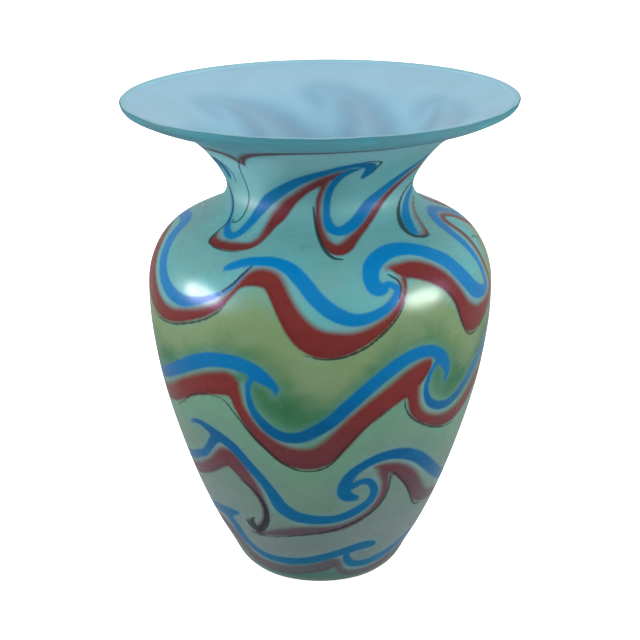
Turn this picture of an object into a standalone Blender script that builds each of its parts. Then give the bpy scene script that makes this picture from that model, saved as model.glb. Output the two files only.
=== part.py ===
"""Hand blown art glass vase: opal lining, celadon body and the pulled thread rows inlaid in it.

Origin: centre of the ground base, on the plane the vase stands on. +Z is up, -Y is the front.
"""
import math
from collections import Counter

import bpy
import numpy as np
from mathutils import Vector
from mathutils.geometry import delaunay_2d_cdt

MM = 0.001

# ---- driving dimensions, millimetres -------------------------------------------------------------
# Outer wall from the edge of the ground base to the start of the lip: (radius, height).
OUTER_WALL = [
    (36.0, 0.0), (41.0, 4.0), (46.5, 12.0), (53.5, 24.0), (60.0, 37.0), (66.0, 51.0), (72.0, 67.0),
    (77.0, 82.0), (81.3, 97.0), (84.8, 112.0), (87.3, 127.0), (88.8, 140.0), (89.3, 152.0),
    (88.7, 162.0), (86.0, 171.0), (81.5, 179.0), (75.5, 185.5), (68.0, 190.5), (59.5, 194.8),
    (52.5, 199.0), (48.8, 203.5), (47.8, 208.0), (49.5, 214.0), (53.0, 220.0), (58.0, 226.5),
    (64.0, 232.5), (70.5, 236.6), (79.5, 240.4), (88.8, 244.3), (96.0, 248.0), (100.2, 251.0),
]
BODY_THICK = 2.3          # celadon gather, outside of the wall
SEAM = 0.3                # clearance left between neighbouring bodies of glass
LINING_THICK = 1.0        # opal lining, inside of the wall
BASE_THICK = 5.0          # celadon glass under the lining
FLOOR_THICK = 1.6         # opal glass on the inside of the base
INNER_WALL_START = 9.0    # distance up the wall where the inside stops being the rounded floor
CHANNEL_DEPTH = 1.2       # how deep the threads are pressed into the gather
TRAIL_THICK = 0.65        # glass of a thread, flush with the gather at the top
TRAIL_SEAM = 0.14         # clearance on each side of a thread
THINNEST_TRAIL = 1.1      # least half width of a thread that is still modelled

# ---- how finely the curves are followed ----------------------------------------------------------
SHELL_SEGMENTS = 32
GRID_SEGMENTS = 26
GRID_CLEAR = 1.3          # a grid point this close to a thread's edge is left out
OUTLINE_SAG = 0.7         # a thread outline may cut this far across a bend
TIGHT_SAG = 0.33          # the same where the wall itself bends tightly
TIGHT_WALL = (185.0, 265.0)  # that stretch of the wall, shoulder to flare
FAN_GROWTH = 0.7          # 0 keeps distances up the wall, 1 keeps the shapes of small triangles
MERGE_FLAT = 2.0          # outline points closer than this on the flat fan become one


# ---- the thread rows -----------------------------------------------------------------------------
# A stroke is a list of (degrees round from the front, millimetres up the wall, half width in mm).
def copied(stroke, turn, span=1.0, pivot=0.0, lift=0.0):
    """The same stroke further round: turned, stretched about the pivot, lifted bit by bit."""
    last = len(stroke) - 1
    return [
        (pivot + turn + (angle - pivot) * span, height + lift * index / last, half)
        for index, (angle, height, half) in enumerate(stroke)
    ]


def flattened(stroke, level, share, above):
    """The same stroke with the part above (or below) a level drawn in towards that level."""
    return [
        (angle, level + (height - level) * share if (height > level) == above else height, half)
        for angle, height, half in stroke
    ]


def rim_row():
    red = [
        (-44, 258, 0.5), (-40, 265.5, 1.0), (-35, 271, 1.4), (-28, 276, 1.8), (-20, 280.5, 2.2),
        (-10, 285, 2.6), (0, 288.5, 2.8), (10, 291.5, 2.6), (20, 293.5, 2.2), (30, 295, 1.8),
        (40, 296, 1.5), (52, 296, 1.5), (64, 293, 1.6), (76, 286, 1.8), (88, 279, 1.8), (100, 277, 1.8),
        (116, 281, 2.2), (134, 288, 2.6), (152, 293, 2.2), (168, 294, 1.8), (182, 289, 1.7),
        (196, 280, 1.7), (210, 275, 1.8), (226, 277, 2.0), (242, 284, 2.3), (256, 287, 2.0),
        (268, 282, 1.6), (280, 273, 1.5), (290, 268, 1.5), (300, 268.5, 1.5), (310, 272, 1.5),
        (322, 276.5, 1.6), (334, 280, 1.6), (344, 284, 1.6),
    ]
    return [], [red]


def neck_row():
    first = [
        (-64, 256, 1.2), (-69, 252.5, 1.2), (-73.5, 247.5, 1.1), (-75.5, 242, 1), (-70, 237.5, 0.9),
        (-63, 233.5, 1), (-56, 227.5, 1.1), (-50.5, 220.5, 1.3), (-46, 216, 1.7), (-41.5, 214.5, 2),
        (-39.7, 219, 2.1), (-39.3, 226, 2.2), (-37.8, 233, 2.8), (-33, 238.8, 2.9), (-27, 243, 2.9),
        (-20, 247.7, 3), (-12, 253, 2.7), (-5, 257, 2.5), (2, 260.3, 2.3), (9, 263.7, 2),
        (15, 265.6, 1.9), (20, 265.8, 2.3), (24, 264, 3), (24.6, 260, 3), (22.5, 255.5, 1.5),
    ]
    rise = [
        (19, 263, 1.4), (14, 260.5, 1.9), (9.5, 256, 2), (6, 248.5, 1.9), (4, 240, 1.9), (4, 232, 2.1),
        (6, 226, 3), (10, 224, 3.3), (15, 226, 3.2), (22, 231, 3), (30, 237.5, 3), (38, 243, 3),
        (46, 249, 2.8), (53, 254, 2.4), (60, 258, 2.2), (67, 261.5, 2),
    ]
    long_crest = [(79, 264.5, 2), (94, 265.8, 2.2), (108, 266.2, 2.2), (117, 266, 2.3), (123, 264, 3),
                  (125, 260, 3), (123, 255.5, 1.5)]
    crest = [(74, 264.5, 2), (80, 265.8, 2.3), (84, 264, 3), (84.6, 260, 3), (82.5, 255.5, 1.5)]
    blue = [first, rise + long_crest]
    first_red = [
        (-51, 214, 0.8), (-48.5, 209, 2.9), (-43, 207.5, 3.4), (-36, 208, 3.7), (-30, 210.5, 3),
        (-27.5, 215.5, 2.6), (-27, 221, 3), (-26.5, 227, 3.6), (-24.5, 232, 4.2), (-20.5, 237.5, 3.7),
        (-16, 241.5, 3), (-10, 246.3, 2.7), (-3, 251.5, 2.9), (2, 255, 3), (7, 258.3, 2.5),
        (12, 261.8, 1.2),
    ]
    wave_red = [
        (4, 255, 2.6), (1.8, 248.5, 1.7), (-0.6, 241, 1.7), (-0.8, 233, 1.8), (0.8, 224, 2.2),
        (3.3, 215.5, 3), (7, 210.8, 4.6), (11, 212.8, 4.2), (16, 219, 3.2), (22, 225, 2.6),
        (30, 231.5, 2.3), (38, 237, 2.3), (46, 242.5, 2.4), (54, 248, 2.3), (61, 252, 2.2),
    ]
    long_red = [(72, 256, 2.2), (88, 257.5, 2.4), (100, 256, 2.6), (108, 254.5, 2.8)]
    red = [first_red, wave_red + long_red]
    for turn, lift in ((101, 0), (159, 0), (217, -8)):
        blue.append(copied(rise + crest, turn, span=0.97, pivot=14, lift=lift))
        red.append(copied(wave_red + [(66, 254.5, 2)], turn, span=0.97, pivot=14, lift=lift))
    return blue, red


def shoulder_row():
    rise = [(253, 173, 2.0), (254, 184, 2.2), (254.5, 193, 2.8), (257, 201, 3.3), (262, 206.5, 3.6)]
    left = rise + [
        (270, 208.8, 3.6), (276, 209.5, 3.6), (281, 207, 4.2), (285, 200.5, 4.5), (289, 192.5, 4.4),
        (293.5, 184.5, 4.2), (299, 178.3, 4), (305, 174.8, 3.9), (311, 173.7, 3.2), (317, 175.5, 2.3),
        (323, 179, 1.7), (328, 183.5, 1.2), (331.5, 189, 0.9), (334.5, 196.5, 0.8), (335.5, 199.5, 1.1),
    ]
    front = [
        (-35, 194, 1.0), (-32.5, 196, 2.2), (-28, 199.5, 2.7), (-22, 201.3, 3), (-16, 201.3, 3.2),
        (-10.5, 198, 3.6), (-6, 192, 3.9), (-2, 184.8, 4), (2.5, 178.3, 4), (7.5, 174, 3.7),
        (12, 172.6, 3.2), (17, 174, 2.6), (21.5, 177, 2), (25, 181.8, 1.4), (26, 186, 1.2),
        (23.5, 187.5, 1.2), (21.5, 187.5, 1.2),
    ]
    curl = [
        (22.5, 189, 1.2), (21, 186.5, 3), (18.2, 187.8, 4), (17.4, 193, 4.3), (19.3, 199.5, 4.5),
        (24, 204.5, 4.5), (30, 207, 4.7), (37, 206, 4.5), (44, 201, 4.4), (50, 194, 4.5),
        (55, 184.5, 4.7), (60, 176, 4.6), (65, 172, 3.7), (70, 170.8, 2.8),
    ]
    tail = [(76, 171.5, 2.2), (81, 174.5, 1.8), (85, 179.5, 1.3), (86, 185, 1.2), (84.5, 188, 1.2), (82.5, 188, 1.2)]
    upright = [(72, 171, 2.4), (69.8, 184, 2.1), (67.5, 195, 2.8), (66.5, 205, 3.3), (68.5, 213, 3.5),
               (73, 219, 3.4), (79, 221.5, 3), (86, 220.5, 3), (92, 215, 3.4), (97, 207, 4),
               (103, 197.5, 4.3), (110, 188, 4.4), (118, 182, 4.2), (125, 175.5, 4), (132, 173, 3.4),
               (139, 174.5, 2.6), (144, 178, 1.9), (147.5, 183, 1.3), (148, 186, 1.2), (145.5, 188, 1.2),
               (143.5, 188, 1.2)]
    blue = [left, front, curl, upright, copied(curl + tail, 122), copied(curl, 183)]
    left_red = [
        (246, 161, 6), (252, 163, 4.5), (257.5, 168, 3), (258.5, 178, 2.3), (259, 188, 2.6),
        (262, 195, 5), (270, 193, 8.5), (276, 188, 9), (282, 177.5, 9), (289, 169.5, 8.2),
        (297, 164.7, 5.8), (305, 164.3, 4.3), (313, 167.3, 3.6), (320, 171, 3), (326, 176, 2.3),
        (330, 182, 1.8), (333, 188, 2.2), (338, 192.5, 5), (343.5, 191.5, 5.4), (347, 184.5, 5.4),
        (350.5, 175, 6), (355, 166, 7.2), (360, 161.5, 7.7), (365, 160.8, 7), (371, 162.3, 5.2),
        (377, 166.3, 3.8), (382, 171.5, 2.8), (386, 178, 2), (388.5, 184.5, 1.6), (389, 190, 2.2),
    ]
    crest_red = [
        (23.5, 196.2, 1.1), (26, 196.8, 2), (30, 195, 4.5), (35, 194, 5.6), (40.5, 190.5, 5.6),
        (46, 184.5, 5.2), (50.5, 176, 5), (54, 167.5, 6), (58, 161.5, 7.6), (63, 160, 6.8), (69, 161.5, 5.2),
    ]
    tail_red = [(75, 164.5, 3.8), (80, 168.5, 2.8), (84, 173.5, 2.1), (87.5, 180, 1.6), (89, 186, 1.6),
                (90, 190, 2.2)]
    upright_red = [
        (69, 161.5, 5.2), (74, 164.5, 4), (77, 169, 2.6), (76, 175.5, 1.8), (74.3, 183, 2),
        (73.3, 193, 2.3), (73.2, 203, 2.4), (74, 211, 2.5), (77.5, 215.5, 2.2), (83, 215, 2.2),
        (88, 210.5, 2.8), (92, 202, 4), (97, 191, 5), (103, 181, 5.4), (110, 172.5, 6), (117, 166, 7),
        (124, 162, 7), (131, 162, 5.5), (138, 165.5, 4), (144, 171, 2.8), (148.5, 178, 2),
        (151, 185, 1.7), (151.5, 190, 2.2),
    ]
    red = [left_red, crest_red, upright_red, copied(crest_red + tail_red, 122), copied(crest_red, 183)]
    return blue, red


def upper_row():
    left = [
        (-123, 146, 1.6), (-124.5, 142, 1.5), (-126.2, 136, 1.5), (-126.2, 129, 1.8), (-124.5, 122, 2.3),
        (-121, 116, 2.9), (-116, 111.5, 3.2), (-109, 109.5, 3.2), (-101, 111, 3), (-93, 114, 3),
        (-86, 117.5, 3), (-78, 121, 3), (-70, 126, 3.2), (-62, 130.5, 3.4), (-54, 136, 3.7),
        (-46, 142, 3.9), (-38, 146.8, 4), (-30, 148.3, 3.9), (-24, 147, 3.9), (-19.5, 143.3, 4.2),
        (-16, 139.5, 2.8), (-14, 136.3, 1.6), (-14.8, 133.8, 0.8),
    ]
    front = [
        (-20.5, 146, 1.6), (-22, 142, 1.5), (-23.8, 136, 1.5), (-23.8, 129, 1.8), (-22.5, 122.5, 2.3), (-19.5, 116, 2.9),
        (-15.5, 111, 3.2), (-11, 109, 3.3), (-6, 110, 3.4), (-1, 114, 3.5), (4, 119.5, 3.6),
        (9, 127, 3.7), (14, 134, 3.7), (19, 140.5, 3.7), (24, 146, 3.7), (29, 150, 3.6),
        (34, 151.8, 3.4), (38.5, 151, 3.2), (42.5, 147.5, 3.4), (45, 143, 3.2), (46.8, 138, 2.2),
        (46.8, 134.5, 1.5), (46, 132, 0.8),
    ]
    right = [
        (41.5, 145, 1.6), (38.9, 139, 1.5), (37.7, 133, 1.6), (38.3, 127, 1.9), (40.5, 122, 2.4),
        (44.5, 118.6, 2.6), (49.5, 117.3, 2.6), (55, 119.5, 2.7), (60, 124.5, 2.9), (65, 130.5, 3),
        (71, 137, 3), (78, 143.5, 3), (86, 148.5, 3), (94, 151.5, 3.4), (100, 152.5, 3.3),
        (105, 151, 3.2), (109, 147.5, 3.4), (111.5, 143, 3.2), (113, 138, 2.2), (112.5, 133, 0.9),
    ]
    shallow = flattened(front, 130, 0.8, above=False)
    blue = [left, front, right, copied(shallow, 129.5), copied(shallow, 193.5)]
    left_red = [
        (-134, 136, 6), (-131, 131, 4.3), (-130, 125, 3.6), (-127, 116.5, 3.7), (-123, 108, 4.2),
        (-117, 101, 5), (-109, 98.5, 5.4), (-98, 101.5, 5.3), (-86, 107, 5), (-78, 111.5, 5),
        (-70, 115, 5), (-62, 118.5, 5.2), (-54, 124.5, 5.6), (-46, 130, 5.8), (-38, 134, 6.5),
        (-31.5, 136, 7),
    ]
    front_red = [
        (-31.5, 136, 7), (-28.8, 131, 4.3), (-27.8, 125, 3.6), (-25, 116.5, 3.7), (-21.5, 109, 4.2),
        (-17, 103, 5), (-12, 98, 6.3), (-6, 96.3, 7), (-1, 97.5, 7), (3.5, 102, 6.8), (8, 109.5, 6.5),
        (13, 118, 6.2), (19, 125.5, 6.2), (25, 131.5, 6.6), (31, 137.5, 7), (35.5, 142.5, 5),
        (38, 146, 2),
    ]
    right_red = [
        (31, 136, 6), (32.8, 128, 4), (34, 121.5, 3.8), (37, 116, 3.5), (41.5, 112, 3.4), (47, 109, 4),
        (53, 108, 4.5), (59, 109.5, 5), (65, 114, 5.5), (72, 121, 5.5), (80, 128, 5.5),
        (88, 134, 5.8), (96, 138, 6), (102, 142, 4.5), (105, 146, 2),
    ]
    shallow_red = flattened(front_red, 130, 0.8, above=False)
    red = [left_red, front_red, right_red, copied(shallow_red, 129.5), copied(shallow_red, 193.5)]
    return blue, red


def lower_row():
    left = [
        (-88, 78, 3), (-80, 76.5, 3), (-72, 77, 2.8), (-64, 79.5, 2.7), (-57, 83.5, 2.5),
        (-51, 87.5, 2.4), (-46.5, 93, 2.4), (-43, 98.5, 2.8), (-40.5, 101, 3),
    ]
    front = [
        (-54.5, 104.3, 0.8), (-52, 106.3, 1.5), (-48, 107, 1.9), (-44, 105.3, 2.8), (-39, 102.3, 3.5),
        (-34.5, 98.7, 3.6), (-30.5, 93, 3.2), (-27, 86.5, 3.1), (-23.5, 80, 3.1), (-20.5, 73, 3.3),
        (-18.3, 66, 4), (-15.5, 60.7, 4.3), (-11, 57, 4), (-5, 55.3, 3.6), (1, 54.8, 3.2),
        (7, 55.5, 3), (12, 57.5, 2.9), (17, 61, 2.9), (20.8, 65, 2.6), (22.6, 70, 2.4),
        (22.3, 75, 2.4), (20, 79.3, 2.2), (16.5, 80.3, 2), (13, 77.5, 2),
    ]
    wave = [
        (15, 69.5, 2), (12, 70.5, 3.3), (9.8, 73.5, 3.8), (9.9, 79, 3.6), (11.5, 84.5, 3.1),
        (15, 89.5, 2.9), (20, 93.3, 3), (26, 95.2, 3.2), (33, 94, 3.6), (40, 89.5, 3.6),
        (47, 82.7, 3.6), (54, 75.7, 3.5), (61, 69.7, 3.4), (68, 65, 3), (75, 62, 2.7), (83, 60, 2.7),
        (90, 58.3, 3), (97, 58, 2.9), (103, 60.5, 2.8), (107.5, 64, 2.6), (110.3, 68, 2.4),
        (111.3, 72.5, 2.3), (110.5, 77, 2.3), (108, 80, 2.1), (104, 77.5, 2), (101, 75.5, 2),
    ]
    low = flattened(wave, 70, 0.75, above=True)
    blue = [left, front, wave, copied(low, 88, span=0.78, pivot=26)]
    blue += [copied(low, 156.7, span=0.78, pivot=26), copied(low[:12], 225.4, span=0.78, pivot=26)]
    left_red = [
        (-93, 70, 4), (-88, 69, 4), (-80, 68, 4), (-72, 69, 4), (-64, 71.5, 3.8), (-57, 75, 4),
        (-51, 79, 4.3), (-46, 83, 4.5), (-41, 88, 5.5), (-37, 90, 6.5), (-33, 84.5, 5.6),
        (-29.5, 77.5, 4.4), (-26.5, 70, 3), (-25, 62, 2.2), (-25.3, 55, 2), (-27.5, 49, 1.9),
        (-30.5, 44.5, 2), (-30.5, 39.5, 1.8),
    ]
    front_red = [
        (-37, 38.5, 1.2), (-29, 40.5, 2), (-20, 43.5, 3), (-12, 45.5, 3.5), (-4, 47, 3.5),
        (4, 47.8, 3), (11, 49.8, 2.6), (17, 53.3, 2.5), (22, 58, 2.4), (25.5, 64, 2.3), (27, 71, 2.3),
        (26.6, 78, 2.4), (25, 84, 2.8), (23.5, 88, 2.3),
    ]
    wave_red = [
        (21, 89, 1.2), (24, 89, 2), (30, 86, 3.8), (35, 81.8, 4.6), (40, 76, 4.8), (45.5, 67.5, 4.8),
        (51, 60.5, 4.8), (57, 57, 4.2), (63, 55.5, 4), (72, 53.5, 3.5), (82, 51.5, 3.5),
        (90, 50, 3.3), (98, 50, 3), (105, 53, 2.6), (110.5, 58, 2.4), (114.3, 64.5, 2.2),
        (115.6, 71, 2.2), (115.3, 78, 2.3), (113.8, 84, 2.4), (112.8, 88, 2),
    ]
    low_red = flattened(wave_red, 70, 0.75, above=True)
    red = [left_red, front_red, wave_red, copied(low_red, 88, span=0.78, pivot=26)]
    red += [copied(low_red, 156.7, span=0.78, pivot=26), copied(low_red[:6], 225.4, span=0.78, pivot=26)]
    return blue, red


def foot_row():
    left = [
        (-123, 38, 3), (-121, 31, 3), (-117, 25, 3), (-110, 22, 3), (-102, 24, 3), (-94, 31, 3),
        (-87, 38, 2.8), (-80, 42, 2.7), (-72, 44, 3), (-64, 46, 3.2), (-56, 47, 3.8), (-48, 49, 2.8),
        (-42, 51, 1.2),
    ]
    front = [
        (-53, 45, 3.6), (-49.5, 38, 3.8), (-48, 31, 3.7), (-44, 25, 3.3), (-38, 21, 3),
        (-30, 19.5, 2.9), (-20, 19.5, 3), (-10, 21, 3), (0, 24, 3), (8, 27, 3), (16, 30, 3.2),
        (23, 32, 3.4), (28, 32, 3), (30.5, 31.5, 2),
    ]
    right = [
        (14.5, 29, 2), (15.3, 25, 2), (17, 20.5, 2.4), (20.5, 17.3, 2.8), (26, 16, 2.8), (33, 16.3, 3),
        (41, 18, 3.2), (50, 21, 3.5), (58, 25, 3.8), (66, 29, 4), (75, 33.5, 4), (83, 37.5, 3.8),
        (91, 40, 3.3), (98, 41, 2.4), (103, 40, 1.2),
    ]
    blue = [left, front, right, copied(front, 145, lift=-2), copied(right, 145)]
    front_red = [
        (-74, 35, 4), (-65, 36, 4.5), (-58, 32, 5), (-55, 24, 5), (-50, 17, 4.5), (-41, 13, 4),
        (-30, 12, 4), (-20, 12.5, 4), (-10, 14, 4), (0, 16.5, 4.5), (6, 19, 4.6), (10, 20.5, 3),
        (12, 16.5, 2.4), (15, 12, 2.4), (22, 9.3, 2.8), (32, 9, 3.3), (42, 10.5, 3.6), (54, 14, 3.8),
        (66, 18.5, 4), (76, 23, 4), (84, 28, 4),
    ]
    last_red = [
        (-131, 29, 3.6), (-127, 22, 3), (-121, 16, 3), (-113, 14, 3.2), (-104, 15, 3.4), (-95, 21, 3.6),
        (-87, 28, 3.8), (-80, 33, 4), (-72, 35.5, 4),
    ]
    red = [front_red, copied(front_red[2:], 145), last_red]
    return blue, red


THREAD_ROWS = {
    "rim": rim_row, "neck": neck_row, "shoulder": shoulder_row,
    "upper": upper_row, "lower": lower_row, "foot": foot_row,
}


# ---- the wall curve ------------------------------------------------------------------------------
def natural_spline(knots, values, where):
    """Smooth cubic through the values, with no bend at its two ends."""
    step = np.diff(knots)
    count = len(knots)
    matrix = np.eye(count)
    bend = np.zeros(count)
    for i in range(1, count - 1):
        matrix[i, i - 1:i + 2] = step[i - 1], 2 * (step[i - 1] + step[i]), step[i]
        bend[i] = 6 * ((values[i + 1] - values[i]) / step[i] - (values[i] - values[i - 1]) / step[i - 1])
    curve = np.linalg.solve(matrix, bend)
    i = np.clip(np.searchsorted(knots, where) - 1, 0, count - 2)
    t = where - knots[i]
    width = step[i]
    slope = (values[i + 1] - values[i]) / width - width * (2 * curve[i] + curve[i + 1]) / 6
    return values[i] + t * slope + t ** 2 * curve[i] / 2 + t ** 3 * (curve[i + 1] - curve[i]) / (6 * width)


class Wall:
    """Outer wall curve, read by the distance up the wall from the base edge."""

    def __init__(self, points, samples=3000):
        points = np.array(points)
        chord = np.r_[0, np.cumsum(np.hypot(*np.diff(points, axis=0).T))]
        where = np.linspace(0, chord[-1], samples)
        self.radius = natural_spline(chord, points[:, 0], where)
        self.height = natural_spline(chord, points[:, 1], where)
        self.along = np.r_[0, np.cumsum(np.hypot(np.diff(self.radius), np.diff(self.height)))]
        self.length = self.along[-1]
        self.rings = np.interp(chord, where, self.along)
        self.radius_rate = np.gradient(self.radius, self.along)
        self.height_rate = np.gradient(self.height, self.along)

    def at(self, up, inset=0.0):
        """Radius and height at a distance up the wall, pushed into the glass by the inset."""
        radius = np.interp(up, self.along, self.radius)
        height = np.interp(up, self.along, self.height)
        out = np.interp(up, self.along, self.height_rate)
        drop = np.interp(up, self.along, self.radius_rate)
        return radius - inset * out, height + inset * drop


WALL = Wall(OUTER_WALL)


def on_wall(angle, up, inset=0.0):
    """Point in metres; angle 0 is the front (-Y) and grows towards +X."""
    radius, height = WALL.at(up, inset)
    turn = math.radians(angle)
    return Vector((radius * math.sin(turn), -radius * math.cos(turn), height)) * MM


# ---- revolved shells -----------------------------------------------------------------------------
def shell_curve(inset, floor_height):
    """Points (radius, height) of an inside surface: flat floor, rounded corner, then the wall."""
    wall = [WALL.at(up, inset) for up in WALL.rings if up > INNER_WALL_START]
    corner_radius, corner_height = wall[0]
    drop = corner_height - floor_height
    floor_edge = (corner_radius - 1.2 * drop, floor_height)
    corner = (corner_radius - 0.55 * drop, floor_height + 0.22 * drop)
    return [floor_edge, corner] + [(float(r), float(z)) for r, z in wall]


def lip_arc(start_deg, end_deg, steps):
    """Part of the round lip; 0 degrees is the flare's outer face, 180 its inner face."""
    thick = BODY_THICK + SEAM + LINING_THICK
    outer = np.array(WALL.at(WALL.length))
    inner = np.array(WALL.at(WALL.length, thick))
    middle = (outer + inner) / 2
    across = (outer - inner) / 2
    onward = np.array((-across[1], across[0]))
    angles = np.radians(np.linspace(start_deg, end_deg, steps))
    return [tuple(middle + across * math.cos(a) + onward * math.sin(a)) for a in angles]


def revolve_rows(curve, flip=False):
    """Vertices and faces of a curve turned round the axis, closed on the axis at its first point."""
    verts = [Vector((0, 0, curve[0][1])) * MM]
    for radius, height in curve:
        for k in range(SHELL_SEGMENTS):
            turn = 2 * math.pi * k / SHELL_SEGMENTS
            verts.append(Vector((radius * math.sin(turn), -radius * math.cos(turn), height)) * MM)
    faces = []
    for k in range(SHELL_SEGMENTS):
        nxt = (k + 1) % SHELL_SEGMENTS
        faces.append((0, 1 + nxt, 1 + k))
        for row in range(len(curve) - 1):
            a, b = 1 + row * SHELL_SEGMENTS, 1 + (row + 1) * SHELL_SEGMENTS
            faces.append((a + k, a + nxt, b + nxt))
            faces.append((a + k, b + nxt, b + k))
    if flip:
        faces = [face[::-1] for face in faces]
    return verts, faces


# ---- threads on the wall -------------------------------------------------------------------------
def smoothed(stroke, steps=2):
    """Points of a smooth curve through the stroke's own points."""
    points = np.array(stroke, float)
    padded = np.vstack([2 * points[0] - points[1], points, 2 * points[-1] - points[-2]])
    result = []
    for i in range(1, len(padded) - 2):
        p0, p1, p2, p3 = padded[i - 1:i + 3]
        for t in np.arange(steps) / steps:
            result.append(0.5 * (2 * p1 + (p2 - p0) * t + (2 * p0 - 5 * p1 + 4 * p2 - p3) * t ** 2
                                 + (3 * p1 - p0 - 3 * p2 + p3) * t ** 3))
    result.append(points[-1])
    result = np.array(result)
    result[:, 2] = np.maximum(result[:, 2], THINNEST_TRAIL)
    return result


def depth_inside(points, stroke):
    """How far each point (angle, up) lies inside the stroke; negative outside."""
    scale = np.radians(WALL.at(points[:, 1])[0])
    best = np.full(len(points), -1e9)
    for start, end in zip(stroke[:-1], stroke[1:]):
        turn = (start[0] - points[:, 0] + 180) % 360 - 180
        from_x, from_y = turn * scale, start[1] - points[:, 1]
        along_x, along_y = (end[0] - start[0]) * scale, end[1] - start[1]
        share = -(from_x * along_x + from_y * along_y) / (along_x ** 2 + along_y ** 2 + 1e-12)
        share = np.clip(share, 0, 1)
        gap = np.hypot(from_x + share * along_x, from_y + share * along_y)
        best = np.maximum(best, start[2] + share * (end[2] - start[2]) - gap)
    return best


def thinned(points):
    """Drop outline points that lie within the allowed sag of the straight line past them."""
    places = np.array([on_wall(*point) for point in points]) / MM
    kept = [0]
    for i in range(1, len(points) - 1):
        start = places[kept[-1]]
        line = places[i + 1] - start
        line /= np.linalg.norm(line) + 1e-9
        offsets = places[kept[-1] + 1:i + 1] - start
        away = np.linalg.norm(offsets - np.outer(offsets @ line, line), axis=1)
        tight = TIGHT_WALL[0] < points[i][1] < TIGHT_WALL[1]
        if away.max() > (TIGHT_SAG if tight else OUTLINE_SAG):
            kept.append(i)
    kept.append(len(points) - 1)
    return points[kept]


def outline(stroke):
    """Closed outline (angle, up) of a smoothed stroke, with the folds at tight bends taken out."""
    scale = np.radians(WALL.at(stroke[:, 1])[0])
    ahead = np.gradient(stroke[:, :2], axis=0)
    ahead[:, 0] *= scale
    ahead /= np.hypot(ahead[:, 0], ahead[:, 1])[:, None]
    across = np.column_stack([-ahead[:, 1] / scale, ahead[:, 0]]) * stroke[:, 2:]
    sides = []
    for side in (stroke[:, :2] + across, stroke[:, :2] - across):
        clean = depth_inside(side, stroke) < 0.25
        clean[[0, -1]] = True
        sides.append(thinned(side[clean]))
    return np.vstack([sides[0], sides[1][::-1]])


def fan_table():
    """Matching distances up the wall and radii on the flat fan, steps growing as the fan widens."""
    ups = np.linspace(0.0, WALL.length, 400)
    reach = [WALL.at(0.0)[0]]
    for up in ups[1:]:
        reach.append(reach[-1] + (ups[1] - ups[0]) * (reach[-1] / WALL.at(up)[0]) ** FAN_GROWTH)
    return ups, np.array(reach)


FAN_UPS, FAN_REACH = fan_table()


def fan(points):
    """Lay wall points (angle, up) out flat as a ring, so that the wall closes on itself."""
    turn = np.radians(points[:, 0])
    reach = np.interp(points[:, 1], FAN_UPS, FAN_REACH)
    return np.column_stack([reach * np.cos(turn), reach * np.sin(turn)])


def from_fan(flat):
    """Wall points (angle, up) of a place on the flat fan."""
    return np.column_stack([np.degrees(np.arctan2(flat[:, 1], flat[:, 0])),
                            np.interp(np.hypot(flat[:, 0], flat[:, 1]), FAN_REACH, FAN_UPS)])


def inside_outline(points, loop):
    """Whether each flat point lies inside a closed flat loop (non-zero winding)."""
    winding = np.zeros(len(points), int)
    for start, end in zip(loop, np.roll(loop, -1, axis=0)):
        left = (end[0] - start[0]) * (points[:, 1] - start[1]) - (points[:, 0] - start[0]) * (end[1] - start[1])
        winding += ((start[1] <= points[:, 1]) & (end[1] > points[:, 1]) & (left > 0)).astype(int)
        winding -= ((start[1] > points[:, 1]) & (end[1] <= points[:, 1]) & (left < 0)).astype(int)
    return winding != 0


def keep_largest(triangles, owner, piece):
    """Hand any loose crumbs of a piece back to the body, keeping its largest patch."""
    members = [t for t in range(len(triangles)) if owner[t] == piece]
    by_edge = {}
    for t in members:
        a, b, c = triangles[t]
        for edge in ((a, b), (b, c), (c, a)):
            by_edge.setdefault(frozenset(edge), []).append(t)
    patch = {}
    groups = []
    for t in members:
        if t in patch:
            continue
        patch[t] = len(groups)
        group = [t]
        for current in group:
            a, b, c = triangles[current]
            for edge in ((a, b), (b, c), (c, a)):
                for other in by_edge[frozenset(edge)]:
                    if other not in patch:
                        patch[other] = len(groups)
                        group.append(other)
        groups.append(group)
    groups.sort(key=len, reverse=True)
    for group in groups[1:]:
        for t in group:
            owner[t] = ""


def border(triangles):
    """Directed edges that only one of the triangles uses."""
    used = {(t[i], t[(i + 1) % 3]) for t in triangles for i in range(3)}
    return [edge for edge in used if edge[::-1] not in used]


def open_pinches(flat, triangles, owner):
    """Where two channels meet only in a point, widen the meeting by its smallest plain triangle."""

    def size(t):
        a, b, c = (flat[i] for i in triangles[t])
        return abs((b[0] - a[0]) * (c[1] - a[1]) - (b[1] - a[1]) * (c[0] - a[0]))

    for _ in range(8):
        edges = border([tri for tri, name in zip(triangles, owner) if name])
        meeting = Counter(i for edge in edges for i in edge)
        for i in sorted(i for i, count in meeting.items() if count > 2):
            touching = [t for t, tri in enumerate(triangles) if i in tri]
            plain = sorted((t for t in touching if not owner[t]), key=size)
            for t in plain[:1]:
                beside = [n for n in touching if owner[n] and len(set(triangles[n]) & set(triangles[t])) == 2]
                owner[t] = owner[beside[0]] if beside else ""


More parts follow.
